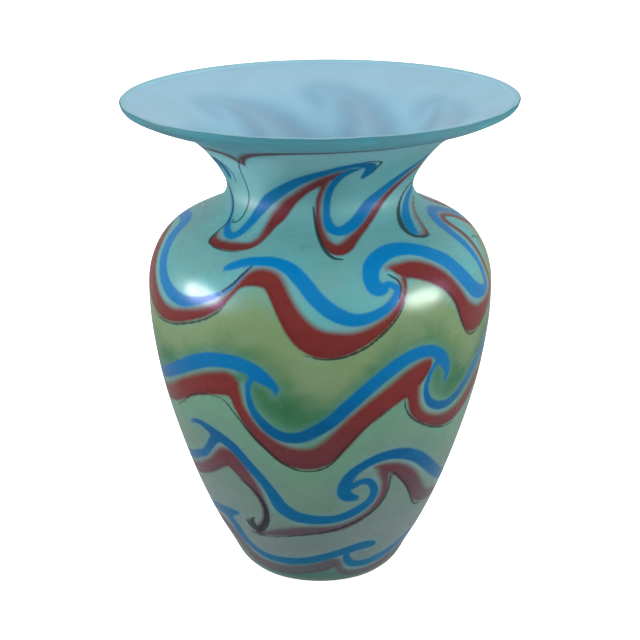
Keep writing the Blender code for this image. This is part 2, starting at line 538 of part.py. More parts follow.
def lay_out_wall():
    """Triangulate the wall once, every thread's edge included; say which piece owns each triangle."""
    strokes = {}
    for row, make in THREAD_ROWS.items():
        blue, red = make()
        if blue:
            strokes["blue_trail_" + row] = [smoothed(stroke) for stroke in blue]
        strokes["red_trail_" + row] = [smoothed(stroke) for stroke in red]
    loops = {name: [outline(stroke) for stroke in group] for name, group in strokes.items()}

    flat, edges = [], []

    def add_path(points, closed_by):
        first = len(flat)
        flat.extend(Vector(p) for p in fan(points))
        for i, wanted in enumerate(closed_by):
            if wanted:
                edges.append((first + i, first + (i + 1) % len(points)))

    ring = np.arange(SHELL_SEGMENTS) * 360.0 / SHELL_SEGMENTS
    for up in (0.0, WALL.length):
        add_path(np.column_stack([ring, np.full(SHELL_SEGMENTS, up)]), [True] * SHELL_SEGMENTS)

    for name, group in loops.items():
        over = list(strokes[name])
        if name.startswith("red"):
            over += strokes.get(name.replace("red", "blue"), [])
        for index, loop in enumerate(group):
            deep = np.full(len(loop), -1.0)
            for other, stroke in enumerate(over):
                if other != index or name.startswith("red") and other >= len(group):
                    deep = np.maximum(deep, depth_inside(loop, stroke))
            hidden = (deep > 0.6) & (np.roll(deep, -1) > 0.6)
            add_path(loop, ~hidden)

    grid = np.array([(360.0 * (k + 0.5 * (row % 2)) / GRID_SEGMENTS, up)
                     for row, up in enumerate(WALL.rings[1:-1]) for k in range(GRID_SEGMENTS)])
    near = np.zeros(len(grid), bool)
    for group in strokes.values():
        for stroke in group:
            near |= np.abs(depth_inside(grid, stroke)) < GRID_CLEAR
    flat.extend(Vector(p) for p in fan(grid[~near]))

    verts, _, faces, sources, _, _ = delaunay_2d_cdt(flat, edges, [], 0, MERGE_FLAT, True)
    verts = np.array([tuple(v) for v in verts])
    triangles = [tuple(face) for face in faces]
    place = {source: index for index, group in enumerate(sources) for source in group}
    base_ring = [place[k] for k in range(SHELL_SEGMENTS)]
    top_ring = [place[k] for k in range(SHELL_SEGMENTS, 2 * SHELL_SEGMENTS)]
    base_set = set(base_ring)
    triangles = [tri[::-1] for tri in triangles if not base_set.issuperset(tri)]

    middles = verts[np.array(triangles)].mean(axis=1)
    owner = [""] * len(triangles)
    for name in sorted(loops, reverse=True):
        for loop in loops[name]:
            for t in np.nonzero(inside_outline(middles, fan(loop)))[0]:
                owner[t] = name
    for name in loops:
        keep_largest(triangles, owner, name)
    open_pinches(verts, triangles, owner)
    return from_fan(verts), triangles, owner, base_ring, top_ring


def new_object(name, verts, faces, look):
    mesh = bpy.data.meshes.new(name)
    mesh.from_pydata(verts, [], faces)
    mesh.update()
    mesh.shade_smooth()
    mesh.set_sharp_from_angle(angle=math.radians(50))
    obj = bpy.data.objects.new(name, mesh)
    bpy.context.scene.collection.objects.link(obj)
    colour, roughness = look
    material = bpy.data.materials.new(name)
    material.use_nodes = True
    shader = material.node_tree.nodes["Principled BSDF"]
    shader.inputs["Base Color"].default_value = (*colour, 1.0)
    shader.inputs["Roughness"].default_value = roughness
    shader.inputs["Metallic"].default_value = 0.0
    mesh.materials.append(material)
    return obj


def ring_faces(lower, upper):
    """Wall faces between two rings of the same number of vertices, facing outwards."""
    faces = []
    for k in range(len(lower)):
        nxt = (k + 1) % len(lower)
        faces.append((lower[k], lower[nxt], upper[nxt]))
        faces.append((lower[k], upper[nxt], upper[k]))
    return faces


def add_lip(verts, faces, arc, outer_ring, inner_ring):
    """Rings of the rounded lip from the outside of a shell over to its inside."""
    last = outer_ring
    for radius, height in arc:
        ring = []
        for k in range(SHELL_SEGMENTS):
            turn = 2 * math.pi * k / SHELL_SEGMENTS
            ring.append(len(verts))
            verts.append(Vector((radius * math.sin(turn), -radius * math.cos(turn), height)) * MM)
        faces.extend(ring_faces(last, ring))
        last = ring
    faces.extend(ring_faces(last, inner_ring))


def build_body(places, triangles, owner, base_ring, top_ring):
    """Celadon gather with a channel for every thread, the rounded lip and the flat ground base."""
    verts, faces = [], []
    outer, floor = {}, {}

    def vertex(table, index, inset):
        if index not in table:
            table[index] = len(verts)
            verts.append(on_wall(*places[index], inset))
        return table[index]

    plain = [tri for tri, name in zip(triangles, owner) if not name]
    channel = [tri for tri, name in zip(triangles, owner) if name]
    for tri in plain:
        faces.append(tuple(vertex(outer, i, 0.0) for i in tri))
    for tri in channel:
        faces.append(tuple(vertex(floor, i, CHANNEL_DEPTH) for i in tri))
    for a, b in border(channel):
        faces.append((floor[b], floor[a], outer[a]))
        faces.append((floor[b], outer[a], outer[b]))

    centre = len(verts)
    verts.append(Vector((0, 0, 0)))
    ring = [outer[i] for i in base_ring]
    faces += [(centre, ring[(k + 1) % SHELL_SEGMENTS], ring[k]) for k in range(SHELL_SEGMENTS)]

    inner_verts, inner_faces = revolve_rows(shell_curve(BODY_THICK, BASE_THICK), flip=True)
    start = len(verts)
    verts += inner_verts
    faces += [tuple(start + i for i in face) for face in inner_faces]
    half = (BODY_THICK + SEAM + LINING_THICK) / 2
    end = math.degrees(math.acos((half - BODY_THICK) / half))
    inner_top = list(range(len(verts) - SHELL_SEGMENTS, len(verts)))
    add_lip(verts, faces, lip_arc(0, end, 6)[1:], [outer[i] for i in top_ring], inner_top)
    return new_object("celadon_body", verts, faces, ((0.42, 0.58, 0.47), 0.22))


def build_lining():
    """Opal glass shell inside the gather, with its own floor and half of the rounded lip."""
    outer_inset = BODY_THICK + SEAM
    thick = outer_inset + LINING_THICK
    verts, faces = revolve_rows(shell_curve(outer_inset, BASE_THICK + SEAM))
    outer_top = list(range(len(verts) - SHELL_SEGMENTS, len(verts)))
    inner_verts, inner_faces = revolve_rows(shell_curve(thick, BASE_THICK + SEAM + FLOOR_THICK), flip=True)
    start = len(verts)
    verts += inner_verts
    faces += [tuple(start + i for i in face) for face in inner_faces]
    inner_top = list(range(len(verts) - SHELL_SEGMENTS, len(verts)))
    half = thick / 2
    begin = math.degrees(math.acos((half - outer_inset) / half))
    add_lip(verts, faces, lip_arc(begin, 180, 4)[:-1], outer_top, inner_top)
    return new_object("opal_lining", verts, faces, ((0.50, 0.68, 0.78), 0.35))


def build_trail(name, places, triangles, look):
    """One thread pressed flush into its channel: the patch of wall it covers, given a thickness."""
    edges = border(triangles)
    pulled = {}
    scale = np.radians(WALL.at(places[:, 1])[0])
    normals = {}
    for a, b in edges:
        run = (places[b] - places[a] + (180, 0)) % (360, 1e6) - (180, 0)
        run = np.array((run[0] * scale[a], places[b][1] - places[a][1]))
        run /= np.hypot(*run)
        for i in (a, b):
            normals.setdefault(i, []).append(np.array((-run[1], run[0])))
    for i, pair in normals.items():
        total = sum(pair)
        size = np.hypot(*total)
        step = TRAIL_SEAM * total * min(2.0 / max(size, 1e-6) ** 2, 1.6 / max(size, 1e-6))
        pulled[i] = places[i] + step / (scale[i], 1.0)
    verts, faces = [], []
    tops, bottoms = {}, {}
    for table, inset in ((tops, 0.0), (bottoms, TRAIL_THICK)):
        for i in sorted({i for tri in triangles for i in tri}):
            table[i] = len(verts)
            verts.append(on_wall(*pulled.get(i, places[i]), inset))
    for a, b, c in triangles:
        faces.append((tops[a], tops[b], tops[c]))
        faces.append((bottoms[c], bottoms[b], bottoms[a]))
    for a, b in edges:
        faces.append((tops[b], tops[a], bottoms[b]))
        faces.append((tops[a], bottoms[a], bottoms[b]))
    return new_object(name, verts, faces, look)


def main():
    for obj in list(bpy.data.objects):
        bpy.data.objects.remove(obj, do_unlink=True)
    places, triangles, owner, base_ring, top_ring = lay_out_wall()
    build_lining()
    build_body(places, triangles, owner, base_ring, top_ring)
    blue_look = ((0.0, 0.18, 0.52), 0.2)
    red_look = ((0.26, 0.03, 0.025), 0.24)
    for name in sorted(set(owner) - {""}):
        look = blue_look if name.startswith("blue") else red_look
        build_trail(name, places, [t for t, n in zip(triangles, owner) if n == name], look)


main()
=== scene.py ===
"""Hand blown art glass vase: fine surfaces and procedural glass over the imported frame."""
import math

import bpy
import numpy as np
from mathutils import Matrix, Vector


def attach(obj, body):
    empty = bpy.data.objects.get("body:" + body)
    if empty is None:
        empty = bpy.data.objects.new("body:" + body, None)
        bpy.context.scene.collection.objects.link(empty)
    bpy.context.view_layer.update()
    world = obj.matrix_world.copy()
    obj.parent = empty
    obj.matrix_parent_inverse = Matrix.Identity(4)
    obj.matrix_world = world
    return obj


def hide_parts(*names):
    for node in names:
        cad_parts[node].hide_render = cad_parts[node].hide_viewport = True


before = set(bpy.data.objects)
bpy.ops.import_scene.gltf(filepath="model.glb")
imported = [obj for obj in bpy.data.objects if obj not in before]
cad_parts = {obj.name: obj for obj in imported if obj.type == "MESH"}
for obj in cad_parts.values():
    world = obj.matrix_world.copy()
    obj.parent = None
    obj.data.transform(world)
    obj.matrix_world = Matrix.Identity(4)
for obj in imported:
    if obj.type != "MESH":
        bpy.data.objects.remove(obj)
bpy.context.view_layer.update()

MM = 0.001

# ---- driving dimensions, millimetres ----
# Outer wall from the edge of the ground base to the start of the lip: (radius, height).
OUTER_WALL = [
    (37.6, 0), (42, 4), (46.8, 12), (53.5, 24), (60, 37), (66, 51), (72, 67),
    (77, 82), (81.3, 97), (84.8, 112), (87.3, 127), (88.8, 140), (89.3, 152),
    (88.9, 162), (86.7, 171), (82.6, 179.2), (76.4, 186.1), (68.4, 190.9), (59.7, 194.9),
    (52.5, 199), (48.8, 203.5), (47.8, 208), (49.5, 214), (53, 220), (58, 226.5),
    (64, 232.6), (70.5, 237.2), (79.5, 241.2), (89.4, 244.4), (96.8, 247.6), (100.4, 250.2),
    (101.3, 252.6),
]
BODY_THICK = 2.3          # celadon gather, outside of the wall
SEAM = 0.02               # between the gather and the lining
LINING_THICK = 1.28       # opal lining, inside of the wall
BASE_THICK = 5.0          # celadon glass under the lining
WALL_THICK = BODY_THICK + SEAM + LINING_THICK
FLOOR_THICK = 1.6         # opal glass on the inside of the base
INNER_WALL_START = 12.0   # distance up the wall where the inside stops being the rounded floor
CHANNEL_DEPTH = 1.2       # how deep the threads are pressed into the gather
TRAIL_THICK = 0.9         # glass of a thread, flush with the gather at the top
LIP_SHORT = 4.3           # the inside stops this far short of the outside, so the lip leans outwards
LIP_RISE = 0.5            # how far the lip bulges, as a share of a half circle
LIP_LENGTH = 5.7          # way over the lip, from the outside to the inside
LIP_ZONE = 7.0            # ground colour zone where the lip starts
FLOOR_SPREAD = 1.6        # how far the inside floor's rounded corner reaches in, per unit down
GHOST_LIFT = 16.0         # how much higher the threads' faint marks sit on the inside of the mouth
RIM_TILT = 0.0095         # the mouth is this much higher on the right, per unit across
TILT_HEIGHTS = (190.0, 250.0)   # heights between which the tilt comes in
TILT_UPS = (235.0, 295.0)       # roughly the same, as distances up the wall
SWAY = 0.35               # how far the hand-blown wall strays from a true circle
SWAY_STARTS = (20.0, 80.0)      # heights between which the straying comes in
SWAY_ENDS = (262.0, 232.0)      # height above which it is gone, height below which it is whole
MEAN_RADIUS = 80.0        # of the wall, to turn the straying into a share of the radius

# ---- how finely the surfaces are drawn ----
COLUMNS = 320             # round the vase
ROW_STEP = 2.0            # up the wall
COARSE_STEP = 6.0         # up the wall where nobody looks
BELLY_STEP = 14.0         # the same on the belly, which bends little
BELLY_TOP = 160.0         # distance up the wall where the belly turns into the shoulder
MOUTH_START = 190.0       # distance up the wall from which the inside can be seen
LIP_STEPS = 10            # rings over each part of the rounded lip
FLOOR_BENDS = np.array((0.35, 0.65, 0.85, 1.0))   # rings of the floor's corner, shares of its bend
SHARP_DEGREES = 50.0      # edges bent more than this are drawn sharp
FAR = 12.0                # how far round a stroke its distance is worked out
SNAP = 0.15               # a corner this close to a thread's edge counts as on it
THINNEST = 0.25           # least half width of a stroke
HAIRLINE_BLUR = 0.9       # a hairline starts to thin out this far past its own width
HAIRLINE_TAPER = 2.5      # and does so this much per millimetre
LEVEL_TURNS = np.arange(0.0, 360.0, 4.0)   # degrees where the level of a thread row is worked out
LEVEL_BLUR = 5.0          # degrees over which it is averaged
WALL_TOP = 320.0          # distance up the wall at the end of the colour ramps
TOP_ZONE = 8.0            # zone at the end of the ground's colour ramp
TINY = 1e-9               # keeps a division from meeting zero


# ---- the thread rows ----
# A stroke is a list of (degrees round from the front, distance up the wall, half its width).
# Every row function returns its blue strokes, its red strokes and its dark hairlines.
def copied(stroke, turn, span=1.0, pivot=0.0, lift=0.0):
    """The same stroke further round: turned, stretched about the pivot, lifted bit by bit."""
    last = len(stroke) - 1
    return [
        (pivot + turn + (angle - pivot) * span, height + lift * index / last, half)
        for index, (angle, height, half) in enumerate(stroke)
    ]


def flattened(stroke, level, share, above):
    """The same stroke with the part above (or below) a level drawn in towards that level."""
    return [
        (angle, level + (height - level) * share if (height > level) == above else height, half)
        for angle, height, half in stroke
    ]


def rim_row():
    red = [
        (-39, 261, 1), (-37.5, 266.5, 2.2), (-33.5, 271.5, 2.4), (-27, 276.5, 2.5), (-20, 280.5, 2.8),
        (-10, 285, 3.2), (0, 288.5, 3.4), (10, 291.5, 3.2), (20, 293.5, 2.7), (30, 295, 2.2), (40, 296, 1.5),
        (52, 296, 1.5), (64, 293, 1.6), (76, 286, 1.8), (88, 279, 1.8), (100, 277, 1.8), (116, 281, 2.2),
        (134, 288, 2.6), (152, 293, 2.2), (168, 294, 1.8), (182, 289, 1.7), (196, 280, 1.7), (210, 275, 1.8),
        (226, 277, 2), (242, 284, 2.3), (256, 287, 2), (268, 282, 1.6), (280, 274, 1.5), (290, 270, 1.6),
        (300, 270.5, 1.8), (308, 271.5, 2), (314, 271, 2.2), (318, 268.5, 2.6), (320.5, 264, 1.6),
    ]
    dark = [
        [(-36, 270, 0.3), (-41, 263.5, 0.4), (-44.5, 256, 0.4), (-46.5, 246, 0.4), (-47.5, 235, 0.4),
         (-47.3, 226, 0.5), (-49.5, 223.3, 0.5), (-51.5, 225.5, 0.3)],
    ]
    return [], [red], dark


def neck_row():
    first = [
        (-64, 256, 1.2), (-69, 252.5, 1.2), (-73.5, 247.5, 1.1), (-75.5, 242, 1), (-70, 237.5, 0.9),
        (-63, 233.5, 1), (-56, 227.5, 1.1), (-50.5, 220.5, 1.7), (-46, 216, 2.4), (-41.5, 214.5, 2.8),
        (-39.7, 219, 2.7), (-39.3, 226, 2.8), (-37.8, 233, 3.2), (-33, 238.8, 3.2), (-27, 243, 3.1),
        (-20, 247.7, 3), (-12, 253, 2.7), (-5, 257, 2.5), (2, 260.3, 2.3), (9, 263.7, 2), (15, 265.6, 1.9),
        (20, 265.8, 2.3), (24, 264, 3), (24.6, 260, 3), (22.5, 255.5, 1.5),
    ]
    rise = [
        (19, 263, 1.4), (14, 260.5, 1.9), (9.5, 256, 2), (6, 248.5, 1.9), (4, 240, 1.9), (4, 232, 2.1),
        (6, 226, 3), (10, 224, 3.3), (15, 226, 3.2), (22, 231, 3), (30, 237.5, 3), (38, 243, 3),
        (46, 249, 2.8), (53, 254, 2.4), (60, 258, 2.2), (67, 261.5, 2),
    ]
    long_crest = [(79, 264.5, 2), (94, 265.8, 2.2), (108, 266.2, 2.2), (117, 266, 2.3), (123, 264, 3),
                  (125, 260, 3), (123, 255.5, 1.5)]
    crest = [(74, 264.5, 2), (80, 265.8, 2.3), (84, 264, 3), (84.6, 260, 3), (82.5, 255.5, 1.5)]
    blue = [first, rise + long_crest]
    first_red = [
        (-51, 214, 0.8), (-48.5, 209, 2.9), (-43, 207.5, 3.4), (-36, 208, 3.7), (-30, 210.5, 3),
        (-27.5, 215.5, 2.6), (-27, 221, 3), (-26.5, 227, 3.6), (-24.5, 232, 4.2), (-20.5, 237.5, 3.7),
        (-16, 241.5, 3), (-10, 246.3, 2.7), (-3, 251.5, 2.9), (2, 255, 3), (7, 258.3, 2.5), (12, 261.8, 1.2),
    ]
    wave_red = [
        (4, 255, 2.6), (1.8, 248.5, 1.7), (-0.6, 241, 1.7), (-0.8, 233, 1.8), (0.8, 224, 2.2),
        (3.3, 215.5, 3), (7, 210.8, 4.6), (11, 212.8, 4.2), (16, 219, 3.2), (22, 225, 2.6), (30, 231.5, 2.3),
        (38, 237, 2.3), (46, 242.5, 2.4), (54, 248, 2.3), (61, 252, 2.2),
    ]
    long_red = [(72, 256, 2.2), (88, 257.5, 2.4), (100, 256, 2.6), (108, 254.5, 2.8)]
    red = [first_red, wave_red + long_red]
    copies = ((101, 0), (159, 0), (217, -8))
    for turn, lift in copies:
        blue.append(copied(rise + crest, turn, span=0.97, pivot=14, lift=lift))
        red.append(copied(wave_red + [(66, 254.5, 2)], turn, span=0.97, pivot=14, lift=lift))
    foot_line = [(-4, 238, 0.4), (-2.6, 230, 0.7), (-0.5, 220, 0.9), (2, 210.5, 1), (5, 205, 0.9),
                 (8.5, 203.7, 0.4)]
    dark = [
        foot_line, *[copied(foot_line, turn, lift=lift) for turn, lift in copies],
        [(-76, 242, 0.8), (-68, 237.5, 0.7), (-60, 231.5, 0.55), (-53, 222.5, 0.5), (-51.7, 214, 0.55),
         (-50.5, 208, 0.5), (-47, 205.2, 0.45), (-40, 203.9, 0.35), (-33, 204.7, 0.25)],
        [(53.5, 211, 0.6), (48, 211.3, 1.1), (44.3, 215, 1.4), (44.6, 220.5, 1.7), (47.8, 227, 1.4),
         (53.2, 233, 1), (60, 238, 0.8), (67, 241.3, 0.7), (76, 242.5, 0.6)],
        [(-78, 257.5, 0.5), (-70, 260.3, 0.6), (-62, 260.8, 0.7), (-56.5, 257.5, 0.7), (-54.2, 252, 0.5),
         (-56.5, 245.5, 0.3)],
        [(16, 267.8, 0.3), (22, 268.5, 0.5), (28, 267.3, 0.6), (28.5, 264, 0.6), (26.3, 258.5, 0.3)],
    ]
    return blue, red, dark


def shoulder_row():
    rise = [(253, 173, 2), (254, 184, 2.2), (254.5, 193, 2.8), (257, 201, 3.3), (262, 206.5, 3.6)]
    left = rise + [
        (270, 208.8, 3.6), (276, 209.5, 3.6), (281, 207, 4.2), (285, 200.5, 4.5), (289, 192.5, 4.4),
        (293.5, 184.5, 4.2), (299, 178.3, 4), (305, 174.8, 3.9), (311, 173.7, 3.2), (317, 175.5, 2.3),
        (323, 179, 1.7), (328, 183.5, 1.2), (331.5, 189, 0.9), (334.5, 196.5, 0.8), (335.5, 199.5, 1.1),
    ]
    front = [
        (-35, 194, 1), (-32.5, 196, 2.2), (-28, 199.5, 2.7), (-22, 201.3, 3), (-16, 201.3, 3.2),
        (-10.5, 198, 3.6), (-6, 192, 3.9), (-2, 184.8, 4), (2.5, 178.3, 4), (7.5, 174, 3.7),
        (12, 172.6, 3.2), (17, 174, 2.8), (21.5, 177, 2.5), (25, 181.8, 2.2), (26, 186, 2),
        (23.5, 188.5, 1.8),
    ]
    curl = [
        (22.5, 189, 1.2), (21, 186.5, 3), (18.2, 187.8, 4), (17.4, 193, 4.3), (19.3, 199.5, 4.5),
        (24, 204.5, 4.5), (30, 207, 4.7), (37, 206, 4.5), (44, 201, 4.4), (50, 194, 4.5), (55, 184.5, 4.7),
        (60, 176, 4.6), (65, 172, 3.7), (70, 170.8, 2.8),
    ]
    tail = [(76, 171.5, 2.2), (81, 174.5, 1.8), (85, 179.5, 1.3), (86, 185, 1.2), (84.5, 188, 1.2),
            (82.5, 188, 1.2)]
    upright = [(72, 171, 2.4), (69.8, 184, 2.1), (67.5, 195, 2.8), (66.5, 205, 3.3), (68.5, 213, 3.5),
               (73, 219, 3.4), (79, 221.5, 3), (86, 220.5, 3), (92, 215, 3.4), (97, 207, 4),
               (103, 197.5, 4.3), (110, 188, 4.4), (118, 182, 4.2), (125, 175.5, 4), (132, 173, 3.4),
               (139, 174.5, 2.6), (144, 178, 1.9), (147.5, 183, 1.3), (148, 186, 1.2), (145.5, 188, 1.2),
               (143.5, 188, 1.2)]
    blue = [left, front, curl, upright, copied(curl + tail, 122), copied(curl, 183)]
    left_red = [
        (246, 161, 6), (252, 163, 4.5), (257.5, 168, 3), (258.5, 178, 2.3), (259, 188, 2.6), (262, 195, 5),
        (270, 193, 8.5), (276, 188, 9), (282, 177.5, 9), (289, 169.5, 8.2), (297, 164.7, 5.8),
        (305, 164.3, 4.3), (313, 167.3, 3.6), (320, 171, 3), (326, 176, 2.3), (330, 182, 1.8),
        (333, 188, 2.2), (338, 192.5, 5), (343.5, 191.5, 5.4), (347, 184.5, 5.4), (350.5, 175, 6),
        (355, 166, 7.2), (360, 161.5, 7.7), (365, 160.8, 7), (371, 162.3, 5.2), (377, 166.3, 3.8),
        (382, 171.5, 2.8), (386, 178, 2), (388.5, 184.5, 1.6), (389, 190, 2.2),
    ]
    crest_red = [
        (23.5, 196.2, 1.1), (26, 196.8, 2), (30, 195, 4.5), (35, 194, 5.6), (40.5, 190.5, 5.6),
        (46, 184.5, 5.2), (50.5, 176, 5), (54, 167.5, 6), (58, 161.5, 7.6), (63, 160, 6.8), (69, 161.5, 5.2),
    ]
    tail_red = [(75, 164.5, 3.8), (80, 168.5, 2.8), (84, 173.5, 2.1), (87.5, 180, 1.6), (89, 186, 1.6),
                (90, 190, 2.2)]
    upright_red = [
        (69, 161.5, 5.2), (74, 164.5, 4), (77, 169, 2.6), (76, 175.5, 1.8), (74.3, 183, 2), (73.3, 193, 2.3),
        (73.2, 203, 2.4), (74, 211, 2.5), (77.5, 215.5, 2.2), (83, 215, 2.2), (88, 210.5, 2.8), (92, 202, 4),
        (97, 191, 5), (103, 181, 5.4), (110, 172.5, 6), (117, 166, 7), (124, 162, 7), (131, 162, 5.5),
        (138, 165.5, 4), (144, 171, 2.8), (148.5, 178, 2), (151, 185, 1.7), (151.5, 190, 2.2),
    ]
    red = [left_red, crest_red, upright_red, copied(crest_red + tail_red, 122), copied(crest_red, 183)]
    left_line = [(-72, 158.8, 0.3), (-62, 158.2, 0.5), (-54, 159.7, 0.6), (-46, 163.3, 0.6),
                 (-39, 167.5, 0.6), (-33.5, 173, 0.5), (-31, 178, 0.3)]
    front_line = [(-5, 155.5, 0.3), (0, 153.6, 0.4), (5, 153.7, 0.6), (11, 156, 0.7), (16.5, 160.5, 0.7),
                  (21, 166, 0.7), (25, 172, 0.6), (28, 179, 0.4)]
    crest_line = [(44, 182, 0.3), (48, 175.5, 0.5), (51, 166.5, 0.6), (54, 157.5, 0.6), (58, 152.3, 0.6),
                  (64, 152.8, 0.5), (70, 157, 0.4), (77, 161.5, 0.3)]
    dark = [
        left_line, front_line, crest_line,
        copied(front_line, 123), copied(crest_line, 122), copied(crest_line, 183),
        [(-33, 183, 0.4), (-29.5, 188, 0.6), (-27, 193, 0.6), (-24.5, 197.8, 0.4)],
        [(24, 193, 0.6), (26.5, 190.5, 0.6), (27.5, 186.5, 0.5), (26.3, 181.5, 0.4)],
        [(77, 197, 0.3), (81, 196, 0.5), (84, 192.5, 0.6), (84, 187, 0.5), (82, 183, 0.3)],
    ]
    return blue, red, dark


def upper_row():
    left = [
        (-123, 146, 1.6), (-124.5, 142, 1.5), (-126.2, 136, 1.5), (-126.2, 129, 1.8), (-124.5, 122, 2.3),
        (-121, 116, 2.9), (-116, 111.5, 3.2), (-109, 109.5, 3.2), (-101, 111, 3), (-93, 114, 3),
        (-86, 117.5, 3), (-78, 121, 3), (-70, 126, 3.2), (-62, 130.5, 3.4), (-54, 136, 3.7), (-46, 142, 3.9),
        (-38, 146.8, 4), (-30, 148.3, 3.9), (-24, 147, 3.9), (-19.5, 143.3, 4.2), (-16, 139.5, 2.8),
        (-14, 136.3, 1.6), (-14.8, 133.8, 0.8),
    ]
    front = [
        (-20.5, 146, 1.6), (-22, 142, 1.5), (-23.8, 136, 1.5), (-23.8, 129, 1.8), (-22.5, 122.5, 2.3),
        (-19.5, 116, 2.9), (-15.5, 111, 3.2), (-11, 109, 3.3), (-6, 110, 3.4), (-1, 114, 3.5),
        (4, 119.5, 3.6), (9, 127, 3.7), (14, 134, 3.7), (19, 140.5, 3.7), (24, 146, 3.7), (29, 150, 3.6),
        (34, 151.8, 3.4), (38.5, 151, 3.2), (42.5, 147.5, 3.4), (45, 143, 3.2), (46.8, 138, 2.2),
        (46.8, 134.5, 1.5), (46, 132, 0.8),
    ]
    right = [
        (41.5, 145, 1.6), (38.9, 139, 1.5), (37.7, 133, 1.6), (38.3, 127, 1.9), (40.5, 122, 2.4),
        (44.5, 118.6, 2.6), (49.5, 117.3, 2.6), (55, 119.5, 2.7), (60, 124.5, 2.9), (65, 130.5, 3),
        (71, 137, 3), (78, 143.5, 3), (86, 148.5, 3), (94, 151.5, 3.4), (100, 152.5, 3.3), (105, 151, 3.2),
        (109, 147.5, 3.4), (111.5, 143, 3.2), (113, 138, 2.2), (112.5, 133, 0.9),
    ]
    shallow = flattened(front, 130, 0.8, above=False)
    blue = [left, front, right, copied(shallow, 129.5), copied(shallow, 193.5)]
    left_red = [
        (-134, 136, 6), (-131, 131, 4.3), (-130, 125, 3.6), (-127, 116.5, 3.7), (-123, 108, 4.2),
        (-117, 101, 5), (-109, 98.5, 5.4), (-98, 101.5, 5.3), (-86, 107, 5), (-78, 111.5, 5), (-70, 115, 5),
        (-62, 118.5, 5.2), (-54, 124.5, 5.6), (-46, 130, 5.8), (-38, 134, 6.5), (-31.5, 136, 7),
    ]
    front_red = [
        (-31.5, 136, 7), (-28.8, 131, 4.3), (-27.8, 125, 3.6), (-25, 116.5, 3.7), (-21.5, 109, 4.2),
        (-17, 103, 5), (-12, 98, 6.3), (-6, 96.3, 7), (-1, 97.5, 7), (3.5, 102, 6.8), (8, 109.5, 6.5),
        (13, 118, 6.2), (19, 125.5, 6.2), (25, 131.5, 6.6), (31, 137.5, 7), (35.5, 142.5, 5), (38, 146, 2),
    ]
    right_red = [
        (31, 136, 6), (32.8, 128, 4), (34, 121.5, 3.8), (37, 116, 3.5), (41.5, 112, 3.4), (47, 109, 4),
        (53, 108, 4.5), (59, 109.5, 5), (65, 114, 5.5), (72, 121, 5.5), (80, 128, 5.5), (88, 134, 5.8),
        (96, 138, 6), (102, 142, 4.5), (105, 146, 2),
    ]
    shallow_red = flattened(front_red, 130, 0.8, above=False)
    red = [left_red, front_red, right_red, copied(shallow_red, 129.5), copied(shallow_red, 193.5)]
    front_line = [
        (-62, 111, 0.3), (-56, 116, 0.4), (-50, 122, 0.5), (-44, 125.5, 0.5), (-38, 127, 0.4),
        (-33.5, 125.8, 0.4), (-29.5, 118.5, 0.6), (-24.5, 108.5, 0.7), (-19.5, 100.5, 0.8),
        (-14.5, 93.5, 0.7), (-9, 89.3, 0.6), (-4, 88.5, 0.6), (1, 90.2, 0.6), (5, 94.5, 0.6), (8, 101, 0.4),
        (12, 108.5, 0.3), (17, 116, 0.3), (24, 123, 0.3),
    ]
    right_line = [(29, 128, 0.3), (30.5, 121, 0.5), (33.5, 115.3, 0.6), (39, 109.8, 0.6), (45, 105.6, 0.6),
                  (52, 102.8, 0.5), (59, 102.3, 0.4)]
    shallow_line = flattened(front_line[4:], 130, 0.8, above=False)
    dark = [front_line, right_line, copied(shallow_line, 129.5), copied(shallow_line, 193.5)]
    return blue, red, dark


